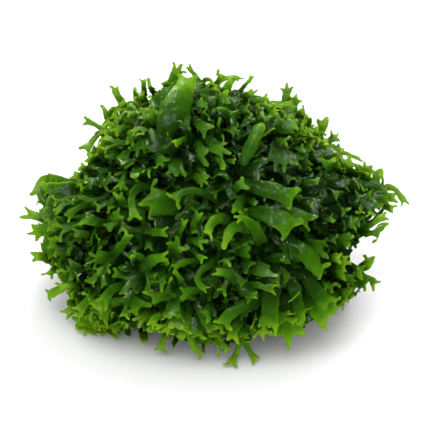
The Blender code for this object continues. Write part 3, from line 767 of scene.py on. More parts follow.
class Form(NamedTuple):
    """How an unnamed thallus grows, in metres and radians."""

    run: tuple
    widths: tuple
    forks: int = 0
    branch: float = 0.0026
    spread: float = 0.55
    horns: int = 2
    horn: float = 0.0008
    curl: float = 1.3
    ruffle: float = SMOOTH_RUFFLE
    thickness: float = THICKNESS


STRAP = Form((0.12, 0.26), (0.0013, 0.0014, 0.0019))
FINGER = Form((0.07, 0.14), (0.0015, 0.0014, 0.0011), horns=0)
PEG = Form((0.06, 0.13), (0.0014, 0.0013, 0.0019))
ANTLER = Form((0.07, 0.15), (0.0015, 0.0014, 0.0021), forks=1, branch=0.0022)
LEAF = Form((0.12, 0.22), (0.0020, 0.0036, 0.0040), curl=1.0, horn=0.0013)
COMB = Form((0.08, 0.15), (0.0018, 0.0027, 0.0033), horns=4, horn=0.0009)
TUBE = Form((0.10, 0.18), (0.0022, 0.0028, 0.0028), curl=3.0)
FRILL = Form(
    (0.05, 0.10), (0.0018, 0.0027, 0.0031), horns=3, horn=0.0005, ruffle=0.25, thickness=FRILL_THICKNESS
)
TUFT = Form(
    (0.05, 0.11), (0.0013, 0.0013, 0.0019), 1, 0.0014, horn=0.0007, ruffle=0.12, thickness=FRILL_THICKNESS
)
THREAD = Form((0.15, 0.30), (0.0005, 0.0006, 0.0004), horns=0)

BROAD = (ANTLER, STRAP, PEG, LEAF, FINGER, COMB, ANTLER, TUBE)
INNER = (ANTLER, STRAP, LEAF, PEG)
FRILLY = (FRILL, TUFT, COMB, TUFT, PEG)
HANGING = (STRAP, ANTLER, PEG, FRILL)
FINE = (THREAD, TUFT, FRILL)
# Solids that the picture doesn't show grow in these forms, or in slim ones near the edge
UNSEEN = (ANTLER, STRAP, LEAF, COMB, TUBE)
UNSEEN_SLIM = (ANTLER, STRAP)
SLIM_BAND = 8
UNSEEN_TONES = (0.02, 0.2)


class Patch(NamedTuple):
    """A round part of the picture where the thalli are lighter or darker, partly in their own colour and
    partly by painted light and shade, or grow in other forms.
    """

    pixel: tuple
    radius: float
    tone: float
    forms: tuple = BROAD


# A patch with this much painted shade or more is a hollow, where only the low thalli grow
HOLLOW_PAINTED_SHADE = -0.12
# Where a patch's tone ends, and the band over which it fades, as shares of the radius
PATCH_END = 1.3
PATCH_FADE = 0.6

# Dark patches paint shade into the hollows, gaps and throats; light ones add painted light, together with
# paler tissue, at the crown, shoulders, lime corner, edges and skirt
PATCHES = {
    "left_crumple": Patch((74, 215), 44, 0.06, FRILLY),
    "left_hollow": Patch((110, 241), 11, -0.12, FRILLY),
    "left_low_hollow": Patch((85, 257), 15, -0.14, FRILLY),
    "lime_corner": Patch((88, 312), 34, 0.20, FRILLY),
    "pale_shoulder": Patch((298, 112), 40, 0.32, FRILLY),
    "right_crumple": Patch((345, 190), 46, -0.13, FRILLY),
    "right_hollow": Patch((322, 236), 30, -0.16, FRILLY),
    "right_low": Patch((350, 280), 34, -0.20, FRILLY),
    "leaf_fan": Patch((287, 308), 26, -0.12),
    "throat": Patch((268, 172), 22, -0.30),
    "low_throat": Patch((286, 263), 14, -0.22),
    "tube_hollow": Patch((310, 201), 20, -0.30),
    "crown_gap": Patch((232, 143), 10, -0.14),
    "centre_gap": Patch((206, 209), 14, -0.20),
    "left_gap": Patch((142, 174), 11, -0.12),
    "bow_gap": Patch((186, 274), 11, -0.12),
    "low_gap": Patch((148, 300), 12, -0.16),
    "centre": Patch((195, 235), 55, -0.03),
    "crown_hollow": Patch((170, 155), 40, -0.12),
    "skirt_left": Patch((165, 325), 36, 0.18),
    "skirt_right": Patch((270, 318), 44, 0.12),
    "crown_edge": Patch((180, 80), 36, 0.08),
    "right_edge": Patch((388, 205), 26, -0.04, FRILLY),
    "left_edge": Patch((40, 200), 26, 0.08, FRILLY),
    "crown_left": Patch((122, 116), 34, 0.28, FRILLY),
    "right_shoulder": Patch((342, 150), 26, 0.22, FRILLY),
    "deep_gap": Patch((217, 178), 15, -0.20),
    "front": Patch((214, 215), 130, -0.03),
}


def patches_at(point):
    """The patches that a point lies in, each with how much of its tone the point gets."""
    pixel = Vector(picture_pixel(point))
    for patch in PATCHES.values():
        far = (pixel - Vector(patch.pixel)).length / patch.radius
        if far < PATCH_END:
            yield patch, min(1.0, (PATCH_END - far) / PATCH_FADE)


def patch_painted_light_and_shade(point):
    return sum(patch.tone * part for patch, part in patches_at(point))


def is_hollow(point):
    return any(patch.tone <= HOLLOW_PAINTED_SHADE and part == 1.0 for patch, part in patches_at(point))


def is_frilly(point):
    return any(patch.forms is FRILLY and part == 1.0 for patch, part in patches_at(point))


class Stem(NamedTuple):
    """One stretch of a thallus: points along its middle, its widths, and what grows from its end."""

    points: tuple
    widths: tuple
    ends: tuple = ()


def stations(stem):
    """How many stations a row across a stem has, so that each of its ends gets its own."""
    return 1 + sum(stations(end) - 1 for end in stem.ends) if stem.ends else PLAIN_STATIONS


def crotches_of(stem):
    """The stations of a stem's last row at which its ends part."""
    crotches = []
    for end in stem.ends[:-1]:
        crotches.append((crotches[-1] if crotches else 0) + stations(end) - 1)
    return crotches


def reach_of(stem, start):
    """The longest way from the start to a tip."""
    length = 0.0
    for point in stem.points:
        length += (point - start).length
        start = point
    return length + max((reach_of(end, start) for end in stem.ends), default=0.0)


def between(values, share):
    """The value at a share of the way through a row of values."""
    place = share * (len(values) - 1)
    before = min(int(place), len(values) - 2) if len(values) > 1 else 0
    after = min(before + 1, len(values) - 1)
    return values[before] + (values[after] - values[before]) * (place - before)


def curve(points, share):
    """The place at a share of the way along a smooth curve through points."""
    place = share * (len(points) - 1)
    index = min(int(place), len(points) - 2)
    t = place - index
    p1, p2 = points[index], points[index + 1]
    p0 = points[index - 1] if index else p1 * 2 - p2
    p3 = points[index + 2] if index + 2 < len(points) else p2 * 2 - p1
    linear = (p2 - p0) * t
    square = (2 * p0 - 5 * p1 + 4 * p2 - p3) * t * t
    cube = (3 * p1 - p0 - 3 * p2 + p3) * t**3
    return 0.5 * (2 * p1 + linear + square + cube)


class Station(NamedTuple):
    """One place across a thallus: its point on the upper and on the lower face."""

    top: int
    low: int


class Build(NamedTuple):
    """How a thallus bends, how much it faces the viewer, and how even, thick and fine it is."""

    curl: float
    viewer: float
    roll: float
    ruffle: float
    thickness: float
    row_step: float


class Thallus:
    """A thallus as a closed cage of faces, skinned over its stems."""

    def __init__(self, stem, build, seed):
        self.points = []
        self.faces = []
        self.rims = []
        self.growth = []
        self.build = build
        self.up = Vector()
        self.random = random.Random(seed)
        self.length = reach_of(stem, stem.points[0])
        tangent = (curve(stem.points, FIRST_SHARE) - stem.points[0]).normalized()
        first = self.row(stem.points[0], tangent, stem.widths[0], stations(stem), 0.0)
        self.cap(first[::-1])
        self.grow(stem, first, 0.0)

    def turn(self, centre, tangent):
        """Which way the upper face looks at a point, from which way it looked at the one before."""
        outward = (centre - HEART).normalized()
        facing = outward.lerp(TO_VIEWER, self.build.viewer)
        facing.z += FLOOR_TURN * max(0.0, 1 - centre.z / LYING_HEIGHT)
        kept = self.up * STIFFNESS
        self.up = (facing + kept - tangent * (facing + kept).dot(tangent)).normalized()
        up = self.up.copy()
        up.rotate(Matrix.Rotation(self.build.roll, 3, tangent))
        return up

    def row(self, centre, tangent, width, count, grown, crotches=()):
        """A row of stations across the thallus, bent round an arc. Its rims are single points."""
        up = self.turn(centre, tangent)
        across = tangent.cross(up)
        half_curl = self.build.curl / 2
        width *= 1 + self.random.uniform(-1, 1) * self.build.ruffle
        cage = width / (1 - SMOOTHED / (count - 1))
        radius = cage / 2 / math.sin(max(-math.pi / 2, min(half_curl, math.pi / 2)))
        lift = radius * (1 - math.cos(half_curl)) / 2
        flesh = self.build.thickness * min(1.0, THREAD_FLESH + width / FLESH_WIDTH)
        ring = []
        for index in range(count):
            place = index / (count - 1) * 2 - 1
            angle = place * half_curl
            out = up * math.cos(angle) + across * math.sin(angle)
            wave = self.random.uniform(-1, 1) * self.build.ruffle * width * place * place
            point = centre + up * (lift - radius) + out * (radius + wave)
            rim = index in (0, count - 1) or index in crotches
            half = 0 if rim else flesh / 2 * (1 - RIM_THINNING * place * place)
            edge = 1.0 if rim else abs(place)
            top = self.vertex(point + out * half, edge, grown)
            low = top if rim else self.vertex(point - out * half, edge, grown)
            ring.append(Station(top, low))
        return ring

    def vertex(self, point, edge, grown):
        point.z = max(point.z, FLOOR_GAP)
        self.points.append(point)
        self.rims.append(edge)
        self.growth.append(min(grown / self.length, 1.0))
        return len(self.points) - 1

    def strip(self, ring, after):
        """The upper and lower faces between two rows."""
        for a, b, c, d in zip(ring, ring[1:], after, after[1:]):
            self.faces.append([a.top, b.top, d.top, c.top])
            self.faces.append([c.low, d.low, b.low, a.low])

    def cap(self, ring):
        """The narrow faces that close an end."""
        for a, b in zip(ring, ring[1:]):
            self.faces.append(list(dict.fromkeys((a.top, b.top, b.low, a.low))))

    def grow(self, stem, ring, grown):
        """A stem from its first row on, and then what grows from its end."""
        start = sum((self.points[s.top] + self.points[s.low] for s in ring), Vector()) / (2 * len(ring))
        own = (start, *stem.points) if grown else stem.points
        length = sum((b - a).length for a, b in zip(own, own[1:]))
        rows = max(FEWEST_ROWS, min(MOST_ROWS, round(length / self.build.row_step)))
        if len(stem.points) == 1:
            rows = FEWEST_ROWS
        for index in range(1, rows + 1):
            share = index / rows
            centre = curve(own, share)
            tangent = (centre - curve(own, share - 0.5 / rows)).normalized()
            width = between(stem.widths, share)
            crotches = crotches_of(stem) if index == rows else ()
            after = self.row(centre, tangent, width, len(ring), grown + length * share, crotches)
            self.strip(ring, after)
            ring = after
        if stem.ends:
            self.part(stem.ends, ring, grown + length)
        else:
            self.cap(ring)

    def part(self, ends, ring, grown):
        """What grows from the last row of a stem, each end from its own stations."""
        middle = sum((self.points[s.top] for s in ring), Vector()) / len(ring)
        side = self.points[ring[-1].top] - self.points[ring[0].top]
        first = 0
        fork_up = self.up
        for end in sorted(ends, key=lambda e: (e.points[0] - middle).dot(side)):
            last = first + stations(end) - 1
            self.up = fork_up
            self.grow(end, ring[first : last + 1], grown)
            first = last


def beside(middle, tip):
    """A horn's tip, moved along the line of sight until it is about as near as the tip's middle."""
    near = (tip - middle).dot(TO_VIEWER)
    most = (tip - middle - TO_VIEWER * near).length * HORN_STEEPNESS
    return tip + TO_VIEWER * (max(-most, min(near, most)) - near)


def horned(points, widths, tips):
    """A stem whose end flares into a web with a short horn at each of the tips."""
    middle = sum(tips, Vector()) / len(tips)
    spread = max((tip - tips[0]).length for tip in tips)
    web = points[-1].lerp(middle, WEB)
    wide = widths[-1] + max(spread - widths[-1], 0.0) * FLARE
    part = wide / len(tips)
    point = min(part * HORN_POINT, WIDEST_POINT)
    part_widths = (part, (part + point) / 2, point)
    horns = tuple(Stem((tip + (tip - web) * OVERSHOOT,), part_widths) for tip in tips)
    return Stem((*points, web), (*widths, wide), horns)


def is_pixel(end):
    """Whether an end is the pixel of a horn's point, and not a branch."""
    return len(end) == 2


def pixels_of(branch):
    """Every pixel that a branch runs through or ends at."""
    path, _, ends = branch
    yield from path
    for end in ends:
        if is_pixel(end):
            yield end
        else:
            yield from pixels_of(end)


def picture_stem(lobe, steepness):
    """The stems of a thallus that the picture shows, laid over the clump's form.

    From its foot it goes no farther back than its steepness allows.
    """
    foot = Vector(lobe.path[0])
    foot_near = (picture_point(foot, lobe.shares[0]) - HEART).dot(TO_VIEWER)
    farthest = max((Vector(pixel) - foot).length for pixel in pixels_of(lobe[:3]))

    def place(pixel):
        away = min((Vector(pixel) - foot).length / farthest, 1.0)
        rise = 1 - (1 - away) ** 2
        point = picture_point(pixel, lobe.shares[0] + (lobe.shares[1] - lobe.shares[0]) * rise)
        near = (point - HEART).dot(TO_VIEWER)
        most = (Vector(pixel) - foot).length * METRES_PER_PIXEL * steepness + EASE
        return point + TO_VIEWER * max(foot_near - most - near, 0.0)

    def stem(branch):
        path, widths, ends = branch
        points = tuple(place(pixel) for pixel in path)
        metres = tuple(width * METRES_PER_PIXEL * SLIMMER for width in widths)
        if ends and is_pixel(ends[0]):
            return horned(points, metres, [beside(points[-1], place(end)) for end in ends])
        return Stem(points, metres, tuple(stem(end) for end in ends))

    return stem(lobe[:3])


def tip_direction(direction, draw, run):
    """A direction a little farther from the whorl, where a tip that starts at this one ends."""
    away = (direction * WHORL.dot(direction) - WHORL).normalized()
    away.rotate(Matrix.Rotation(draw.gauss(0, SWERVE), 3, direction))
    return direction * math.cos(run) + away * math.sin(run)


def sprouting(points, widths, form, forks, draw):
    """A stem with the horns of its tip, or with the branches of its fork and theirs."""
    count = 2 if forks else form.horns
    if count == 0:
        return Stem(points, widths)
    point, width = points[-1], widths[-1]
    outward = (point - HEART).normalized()
    tangent = (point - points[-2]).normalized()
    outward = (outward - tangent * outward.dot(tangent)).normalized()
    side = outward.cross(tangent)
    grown = []
    for index in range(count):
        place = index / (count - 1) * 2 - 1
        turn = place * form.spread * draw.uniform(*TURNING)
        ahead = tangent * math.cos(turn) + side * math.sin(turn) + outward * draw.uniform(*RISING)
        start = point + side * place * width * BRANCH_GAP
        if forks:
            grown.append(branching(start, ahead, outward, width * BRANCH_WIDTH, form, forks, draw))
        else:
            length = form.horn * draw.uniform(*HORN_LENGTH)
            grown.append(start + side * place * width * HORN_GAP + ahead * length)
    return Stem(points, widths, tuple(grown)) if forks else horned(points, widths, grown)


def branching(start, ahead, outward, width, form, forks, draw):
    """A branch of a fork, with what grows from its own tip."""
    length = form.branch * draw.uniform(*BRANCH_LENGTH)
    tip = start + (ahead + outward * draw.uniform(*BRANCH_RISING)) * length
    points = (start, start + ahead * length * 0.5, tip)
    branch = sprouting(points, (width, width, width * BRANCH_FLARE), form, forks - 1, draw)
    return Stem(branch.points[1:], branch.widths, branch.ends)


def wild_stem(start, end, shares, form, draw):
    """The stems of a thallus that grows over the form from one direction to another."""
    size = draw.uniform(*SIZE)
    bow = draw.uniform(*BOW)
    points = []
    for step in range(WILD_POINTS):
        away = step / (WILD_POINTS - 1)
        rise = 1 - (1 - away) ** bow
        share = shares[0] + (shares[1] - shares[0]) * rise
        points.append(form_point(start.lerp(end, away).normalized(), share))
    widths = tuple(width * size for width in form.widths)
    return sprouting(tuple(points), widths, form, form.forks, draw)


def picture_thallus(lobe, seed, steepness, frilly, ruffle=SMOOTH_RUFFLE, hollowed=0.0):
    """A thallus that the picture shows. A share of them is hollowed like a channel."""
    draw = random.Random(seed)
    roll = draw.gauss(0, SHOWN_ROLL)
    curl = lobe.curl * (HOLLOW if draw.random() < hollowed else 1)
    stem = picture_stem(lobe, steepness)
    viewer = SHOWN_FACING + (1 - SHOWN_FACING) * edge_light(stem.points[-1])
    thickness = SHOWN_FRILL_THICKNESS if frilly else SHOWN_THICKNESS
    return Thallus(stem, Build(curl, viewer, roll, ruffle, thickness, SHOWN_ROW_STEP), seed)


def wild_thallus(stem, curl, roll, form, seed):
    """A thallus that grows in one of the forms and faces outward."""
    return Thallus(stem, Build(curl, 0.0, roll, form.ruffle, form.thickness, ROW_STEP), seed)


def linked(name, data):
    """An object with this data, in the scene."""
    obj = bpy.data.objects.new(name, data)
    bpy.context.scene.collection.objects.link(obj)
    return obj


def store_values(mesh, values):
    """Keep named values at each point of a mesh, where its material reads them."""
    for name, numbers in values.items():
        mesh.attributes.new(name, "FLOAT", "POINT").data.foreach_set("value", numbers)


def crumple_clouds(size):
    """Soft clouds that push the tissue a little out of its even form."""
    texture = bpy.data.textures.new("crumple", "CLOUDS")
    texture.noise_scale = size
    texture.noise_depth = 1
    texture.cloud_type = "COLOR"
    return texture


class Tangle:
    """Many thalli in one mesh, with what their colour needs to know stored at each point."""

    def __init__(self, name):
        self.name = name
        self.points = []
        self.faces = []
        self.values = {"rim": [], "growth": [], "tone": [], "depth": [], "wet": []}

    def add(self, thallus, tone, wet, edge_painted_light=EDGE_PAINTED_LIGHT):
        first = len(self.points)
        self.points += thallus.points
        self.faces += [[first + index for index in face] for face in thallus.faces]
        self.values["rim"] += thallus.rims
        self.values["growth"] += thallus.growth
        # Near the tangle's edge the tone gets painted light, as if light came through the thin tissue
        self.values["tone"] += [tone + edge_light(point) * edge_painted_light for point in thallus.points]
        self.values["wet"] += [wet] * len(thallus.points)
        self.values["depth"] += [share_of_form(point) for point in thallus.points]

    def piece(self, material, levels, crumpling):
        """The mesh as an object, smoothed and crumpled."""
        mesh = bpy.data.meshes.new(self.name)
        mesh.from_pydata(self.points, [], self.faces)
        store_values(mesh, self.values)
        mesh.shade_smooth()
        mesh.materials.append(material)
        obj = linked(self.name, mesh)
        smooth = obj.modifiers.new("smooth", "SUBSURF")
        smooth.levels = levels
        smooth.render_levels = levels
        crumple = obj.modifiers.new("crumple", "DISPLACE")
        crumple.texture = crumple_clouds(crumpling[0])
        crumple.texture_coords = "LOCAL"
        crumple.direction = "RGB_TO_XYZ"
        crumple.strength = crumpling[1]
        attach(obj, "root")
        return obj


class Space:
    """The room that thalli fill, in small cells."""

    def __init__(self, cell):
        self.cell = cell
        self.filled = set()

    def key(self, point):
        return tuple(int(math.floor(x / self.cell)) for x in point)

    def fill(self, thallus):
        middles = [sum((thallus.points[i] for i in face), Vector()) / len(face) for face in thallus.faces]
        self.filled.update(self.key(point) for point in thallus.points + middles)

    def crowding(self, thallus):
        return sum(self.key(point) in self.filled for point in thallus.points) / len(thallus.points)


def lies_inside(thallus):
    """Whether a thallus keeps within the clump's measured box and its edge, and off the floor."""
    low, high = CAD_LOW, CAD_HIGH
    for p in thallus.points:
        if not (low.x < p.x < high.x and low.y < p.y < high.y and p.z < high.z):
            return False
    if sum(p.z <= FLOOR_GAP for p in thallus.points) > GROUNDED * len(thallus.points):
        return False
    return all(edge_depth(point) > 0 or share_of_form(point) < NOTCH_SHARE for point in thallus.points[::2])


def attribute_node(tree, name):
    node = tree.nodes.new("ShaderNodeAttribute")
    node.attribute_name = name
    return node.outputs["Fac"]


def maths(tree, operation, *values):
    """A sum or the like of numbers and of what other nodes give."""
    node = tree.nodes.new("ShaderNodeMath")
    node.operation = operation
    for index, value in enumerate(values):
        if isinstance(value, (int, float)):
            node.inputs[index].default_value = value
        else:
            tree.links.new(value, node.inputs[index])
    return node.outputs[0]


def ramp(tree, factor, stops):
    node = tree.nodes.new("ShaderNodeValToRGB")
    node.color_ramp.interpolation = "B_SPLINE"
    elements = node.color_ramp.elements
    while len(elements) < len(stops):
        elements.new(0.5)
    for element, (place, colour) in zip(elements, stops):
        element.position = place
        element.color = (*colour, 1.0)
    tree.links.new(factor, node.inputs[0])
    return node.outputs[0]


def noise_node(tree, scale, detail):
    place = tree.nodes.new("ShaderNodeTexCoord")
    node = tree.nodes.new("ShaderNodeTexNoise")
    node.inputs["Scale"].default_value = scale
    node.inputs["Detail"].default_value = detail
    tree.links.new(place.outputs["Object"], node.inputs["Vector"])
    return node.outputs["Fac"]


def tissue_colour(tree):
    """Green that is dark deep inside, where it is old and where shade is painted in, bright where it is young
    and thin, and lighter at the rims with painted light that seems to come through them.
    """
    tone, growth, depth, rim = (attribute_node(tree, name) for name in ("tone", "growth", "depth", "rim"))
    mottle = maths(tree, "SUBTRACT", noise_node(tree, *MOTTLES), 0.5)
    # Nearer the heart the tissue is darker: partly older tissue, partly painted shade in the deep hollows
    outer = maths(tree, "MULTIPLY_ADD", depth, DEPTH_AGE_AND_SHADE, START_LIGHT)
    age_and_depth_shade = maths(tree, "MULTIPLY_ADD", maths(tree, "POWER", growth, GROWN_POWER), GROWN_LIGHT, outer)
    light = maths(tree, "ADD", age_and_depth_shade, tone)
    # Rims are lightened with painted light, as if light came through the thin tissue
    light = maths(tree, "MULTIPLY_ADD", rim, RIM_PAINTED_LIGHT, light)
    light = maths(tree, "MULTIPLY_ADD", mottle, MOTTLE_LIGHT, light)
    return ramp(tree, light, TISSUE)


def wet_film(tree, wet):
    """From 0 to 1, where a film of water lies on the tissue."""
    film = maths(tree, "MULTIPLY_ADD", noise_node(tree, *FILM_SPOTS), FILM_EDGE, FILM_START)
    return maths(tree, "MULTIPLY", maths(tree, "MINIMUM", maths(tree, "MAXIMUM", film, 0.0), 1.0), wet)


def bumps(tree, wet):
    """The fine unevenness of the surface, higher where it is wet."""
    bump = tree.nodes.new("ShaderNodeBump")
    bump.inputs["Strength"].default_value = BUMP_STRENGTH
    tree.links.new(maths(tree, "MULTIPLY_ADD", wet, WET_BUMP, DRY_BUMP), bump.inputs["Distance"])
    tree.links.new(noise_node(tree, *BUMPS), bump.inputs["Height"])
    return bump.outputs[0]


def tissue_material(name, gloss):
    """Wet green tissue that lets light spread in it."""
    specular, dry_roughness = gloss
    material = bpy.data.materials.new(name)
    material.use_nodes = True
    tree = material.node_tree
    shader = tree.nodes["Principled BSDF"]
    wet = attribute_node(tree, "wet")
    film = wet_film(tree, wet)
    roughness = maths(tree, "MULTIPLY_ADD", film, FILM_ROUGHNESS - dry_roughness, dry_roughness)
    tree.links.new(tissue_colour(tree), shader.inputs["Base Color"])
    tree.links.new(roughness, shader.inputs["Roughness"])
    tree.links.new(bumps(tree, wet), shader.inputs["Normal"])
    shader.inputs["Subsurface Weight"].default_value = SPREAD_WEIGHT
    shader.inputs["Subsurface Radius"].default_value = SPREAD_COLOUR
    shader.inputs["Subsurface Scale"].default_value = SPREAD_REACH
    shader.inputs["IOR"].default_value = TISSUE_IOR
    shader.inputs["Specular IOR Level"].default_value = specular
    return material


def mat_point(direction):
    """Where the matted cushion's surface lies in a direction: lumpy, creased and flat where it rests."""
    reach = form_reach(direction) * MAT_SHARE
    ridge = abs(noise.noise(direction * reach / MAT_CREASES[0]))
    fine = abs(noise.noise(direction * reach / MAT_FINE_CREASES[0]))
    lump = noise.noise(direction * reach / MAT_LUMPS[0])
    sag = 1 + MAT_SAG * max(0.0, -direction.z)
    reach = reach * sag + lump * MAT_LUMPS[1] - ridge * MAT_CREASES[1] - fine * MAT_FINE_CREASES[1]
    if direction.z < 0:
        reach = min(reach, HEART.z / -direction.z)
    return HEART + direction * reach


def mat_piece(material):
    """The old matted cushion of tissue, dark from its age and from the painted shade deep in the clump."""
    made = bmesh.new()
    bmesh.ops.create_icosphere(made, subdivisions=MAT_SUBDIVISIONS, radius=1)
    for vertex in made.verts:
        vertex.co = mat_point(vertex.co.normalized())
    mesh = bpy.data.meshes.new("mat_cushion")
    made.to_mesh(mesh)
    made.free()
    even = {"rim": 0.0, "growth": 0.0, "tone": MAT_TONE, "wet": FRILL_WETNESS}
    values = {name: [value] * len(mesh.vertices) for name, value in even.items()}
    values["depth"] = [share_of_form(vertex.co) for vertex in mesh.vertices]
    store_values(mesh, values)
    mesh.shade_smooth()
    mesh.materials.append(material)
    obj = linked("mat_cushion", mesh)
    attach(obj, "root")
    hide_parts("mat")


def node_ends(node):
    """The foot and the tip of a thallus, read off its solid."""
    points = sorted((vertex.co.copy() for vertex in node.data.vertices), key=share_of_form)
    foot = points[0]
    reach = max((point - foot).length for point in points)
    far = [point for point in points if (point - foot).length > TIP_START * reach]
    return foot, sum(far, Vector()) / len(far)


def unseen_thallus(node, seed):
    """A thallus from the foot to the tip of a solid that the picture doesn't show, and its tone."""
    draw = random.Random(seed)
    foot, tip = node_ends(node)
    form = draw.choice(UNSEEN if edge_depth(tip) > SLIM_BAND else UNSEEN_SLIM)
    ends = ((foot - HEART).normalized(), (tip - HEART).normalized())
    stem = wild_stem(*ends, (share_of_form(foot), share_of_form(tip)), form, draw)
    thallus = wild_thallus(stem, form.curl, draw.gauss(0, UNSEEN_ROLL), form, seed)
    return thallus, draw.uniform(*UNSEEN_TONES)


def named_thalli(smooth, wet, space):
    """A fine thallus in place of each named solid."""
    for number, (name, node) in enumerate(sorted(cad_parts.items())):
        if name == "mat":
            continue
        if name in NAMED_LOBES:
            tone = NAMED_LOBES[name].tone
            thallus = picture_thallus(NAMED_LOBES[name], number, NAMED_STEEPNESS, False)
        else:
            thallus, tone = unseen_thallus(node, number)
        tangle = Tangle(name + "_thallus")
        frilly = is_frilly(thallus.points[-1])
        tangle.add(thallus, tone, FRILL_WETNESS if frilly else SMOOTH_WETNESS, SHOWN_EDGE_PAINTED_LIGHT)
        space.fill(thallus)
        obj = tangle.piece(wet if frilly else smooth, SHOWN_LEVELS, SOFT_CRUMPLE)
        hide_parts(name)


def picture_thalli(smooth, wet, space):
    """The other thalli that can be told apart in the picture, joined by region."""
    for region, lobes in OTHER_LOBES.items():
        frilly = region in FRILLY_REGIONS
        ruffle = FRILL_RUFFLE if frilly else SMOOTH_RUFFLE
        wetness = FRILL_WETNESS if frilly else SMOOTH_WETNESS
        tangle = Tangle(region + "_shown_thalli")
        for seed, lobe in enumerate(lobes, SHOWN_SEEDS):
            thallus = picture_thallus(lobe, seed, SHOWN_STEEPNESS, frilly, ruffle, HOLLOWED_SHARE)
            tangle.add(thallus, lobe.tone, wetness, SHOWN_EDGE_PAINTED_LIGHT)
            space.fill(thallus)
        if frilly:
            tangle.piece(wet, FLANK_LEVELS if region in FLANKS else SHOWN_LEVELS, FINE_CRUMPLE)
        else:
            tangle.piece(smooth, SHOWN_LEVELS, SOFT_CRUMPLE)


def is_hidden(direction):
    return direction.dot(TO_VIEWER) < FRONT_FACING


def is_full(direction):
    return not is_hollow(form_point(direction))


def grows_frills(direction):
    return is_frilly(form_point(direction)) and is_full(direction)


def is_skirt(direction):
    return direction.z < SKIRT_UP and direction.dot(TO_VIEWER) > SKIRT_FACING and is_full(direction)


def is_frilly_edge(direction):
    return abs(direction.dot(TO_VIEWER)) < EDGE_FACING and grows_frills(direction)


def region_of(direction):
    if direction.dot(TO_VIEWER) > FRONT_FACING:
        return "front_left" if direction.x < 0 else "front_right"
    if direction.x < -FLANK_ASIDE:
        return "left"
    if direction.x > FLANK_ASIDE:
        return "right"
    return "back" if direction.z > LOW_UP else "back_low"


class Layer(NamedTuple):
    """Thalli of some forms, spread all over the clump or where a test says.

    It has shares of the form where they start and end, their tones, and how crowded they may be.
    """

    count: int
    seed: int
    feet: tuple
    tips: tuple
    forms: tuple
    tones: tuple
    crowding: float
    grows_at: Callable | None = None


OUTER_LAYERS = (
    Layer(420, 1, (0.78, 0.84), (0.95, 1.01), BROAD, (0.00, 0.34), 0.15, is_hidden),
    Layer(900, 7, (0.86, 0.92), (0.96, 1.02), FRILLY, (0.04, 0.20), 0.20, is_frilly_edge),
    Layer(900, 6, (0.80, 0.88), (0.94, 1.01), HANGING, (-0.02, 0.16), 0.30, is_skirt),
    Layer(900, 5, (0.80, 0.86), (0.90, 0.98), FRILLY, (0.00, 0.16), 0.18, grows_frills),
    Layer(900, 2, (0.74, 0.80), (0.86, 0.96), BROAD, (-0.04, 0.14), 0.16, is_full),
)
INNER_LAYERS = (
    Layer(700, 3, (0.68, 0.74), (0.78, 0.90), INNER, (-0.10, 0.05), 0.22),
    Layer(650, 4, (0.66, 0.74), (0.75, 0.90), FINE, (-0.10, 0.10), 0.45),
)


def even_directions(count, seed):
    """Directions spread evenly over the clump, in a scattered order, a little uneven."""
    golden = math.pi * (3 - math.sqrt(5))
    draw = random.Random(seed)
    places = list(range(count))
    draw.shuffle(places)
    for place in places:
        height = 1 - 2 * (place + 0.5) / count
        ring = math.sqrt(1 - height * height)
        turn = golden * place
        even = Vector((ring * math.cos(turn), ring * math.sin(turn), height))
        loose = Vector([draw.gauss(0, SCATTER) for _ in range(3)])
        yield (even + loose).normalized()


def layer_thallus(layer, start, last_resort, draw):
    """A thallus of a layer that starts in a direction, in a form that suits its patch."""
    around = [patch for patch, part in patches_at(form_point(start)) if part == 1.0]
    forms = around[0].forms if around and layer.forms is BROAD else layer.forms
    form = draw.choice(FRILLY if last_resort else forms)
    end = tip_direction(start, draw, draw.uniform(*form.run))
    stem = wild_stem(start, end, (draw.uniform(*layer.feet), draw.uniform(*layer.tips)), form, draw)
    curl = form.curl * draw.choice((1, 1, HOLLOW))
    roll = draw.gauss(0, FILLING_ROLL)
    return wild_thallus(stem, curl, roll, form, draw.randrange(SEED_LIMIT))


def fill_layer(tangles, space, layer):
    """One layer of thalli, each where it finds room."""
    for number, direction in enumerate(even_directions(layer.count, layer.seed)):
        if layer.grows_at and not layer.grows_at(direction):
            continue
        draw = random.Random(layer.seed * LAYER_SEEDS + number)
        for attempt in range(TRIES):
            stray = Vector([draw.gauss(0, STRAY * attempt) for _ in range(3)])
            start = (direction + stray).normalized()
            thallus = layer_thallus(layer, start, attempt > LAST_OWN_TRY, draw)
            if not lies_inside(thallus) or space.crowding(thallus) > layer.crowding:
                continue
            space.fill(thallus)
            # Each filling thallus gets the painted light and shade of its patch on top of its own tone
            tone = draw.uniform(*layer.tones) + patch_painted_light_and_shade(thallus.points[-1])
            wetness = FRILL_WETNESS if is_frilly(thallus.points[-1]) else FILLING_WETNESS
            tangles[region_of(start)].add(thallus, tone, wetness)
            break


def grow_filling(material, space):
    """The hundreds of smaller thalli between and behind the shown ones, joined by region."""
    names = ("front_left", "front_right", "left", "right", "back", "back_low")
    outer = {name: Tangle(name + "_thalli") for name in names}
    inner = {name: Tangle(name + "_undergrowth") for name in names}
    for layer in OUTER_LAYERS:
        fill_layer(outer, space, layer)
    for layer in INNER_LAYERS:
        fill_layer(inner, space, layer)
    for tangle in outer.values():
        tangle.piece(material, OUTER_LEVELS, CRUMPLE)
    for tangle in inner.values():
        tangle.piece(material, INNER_LEVELS, CRUMPLE)


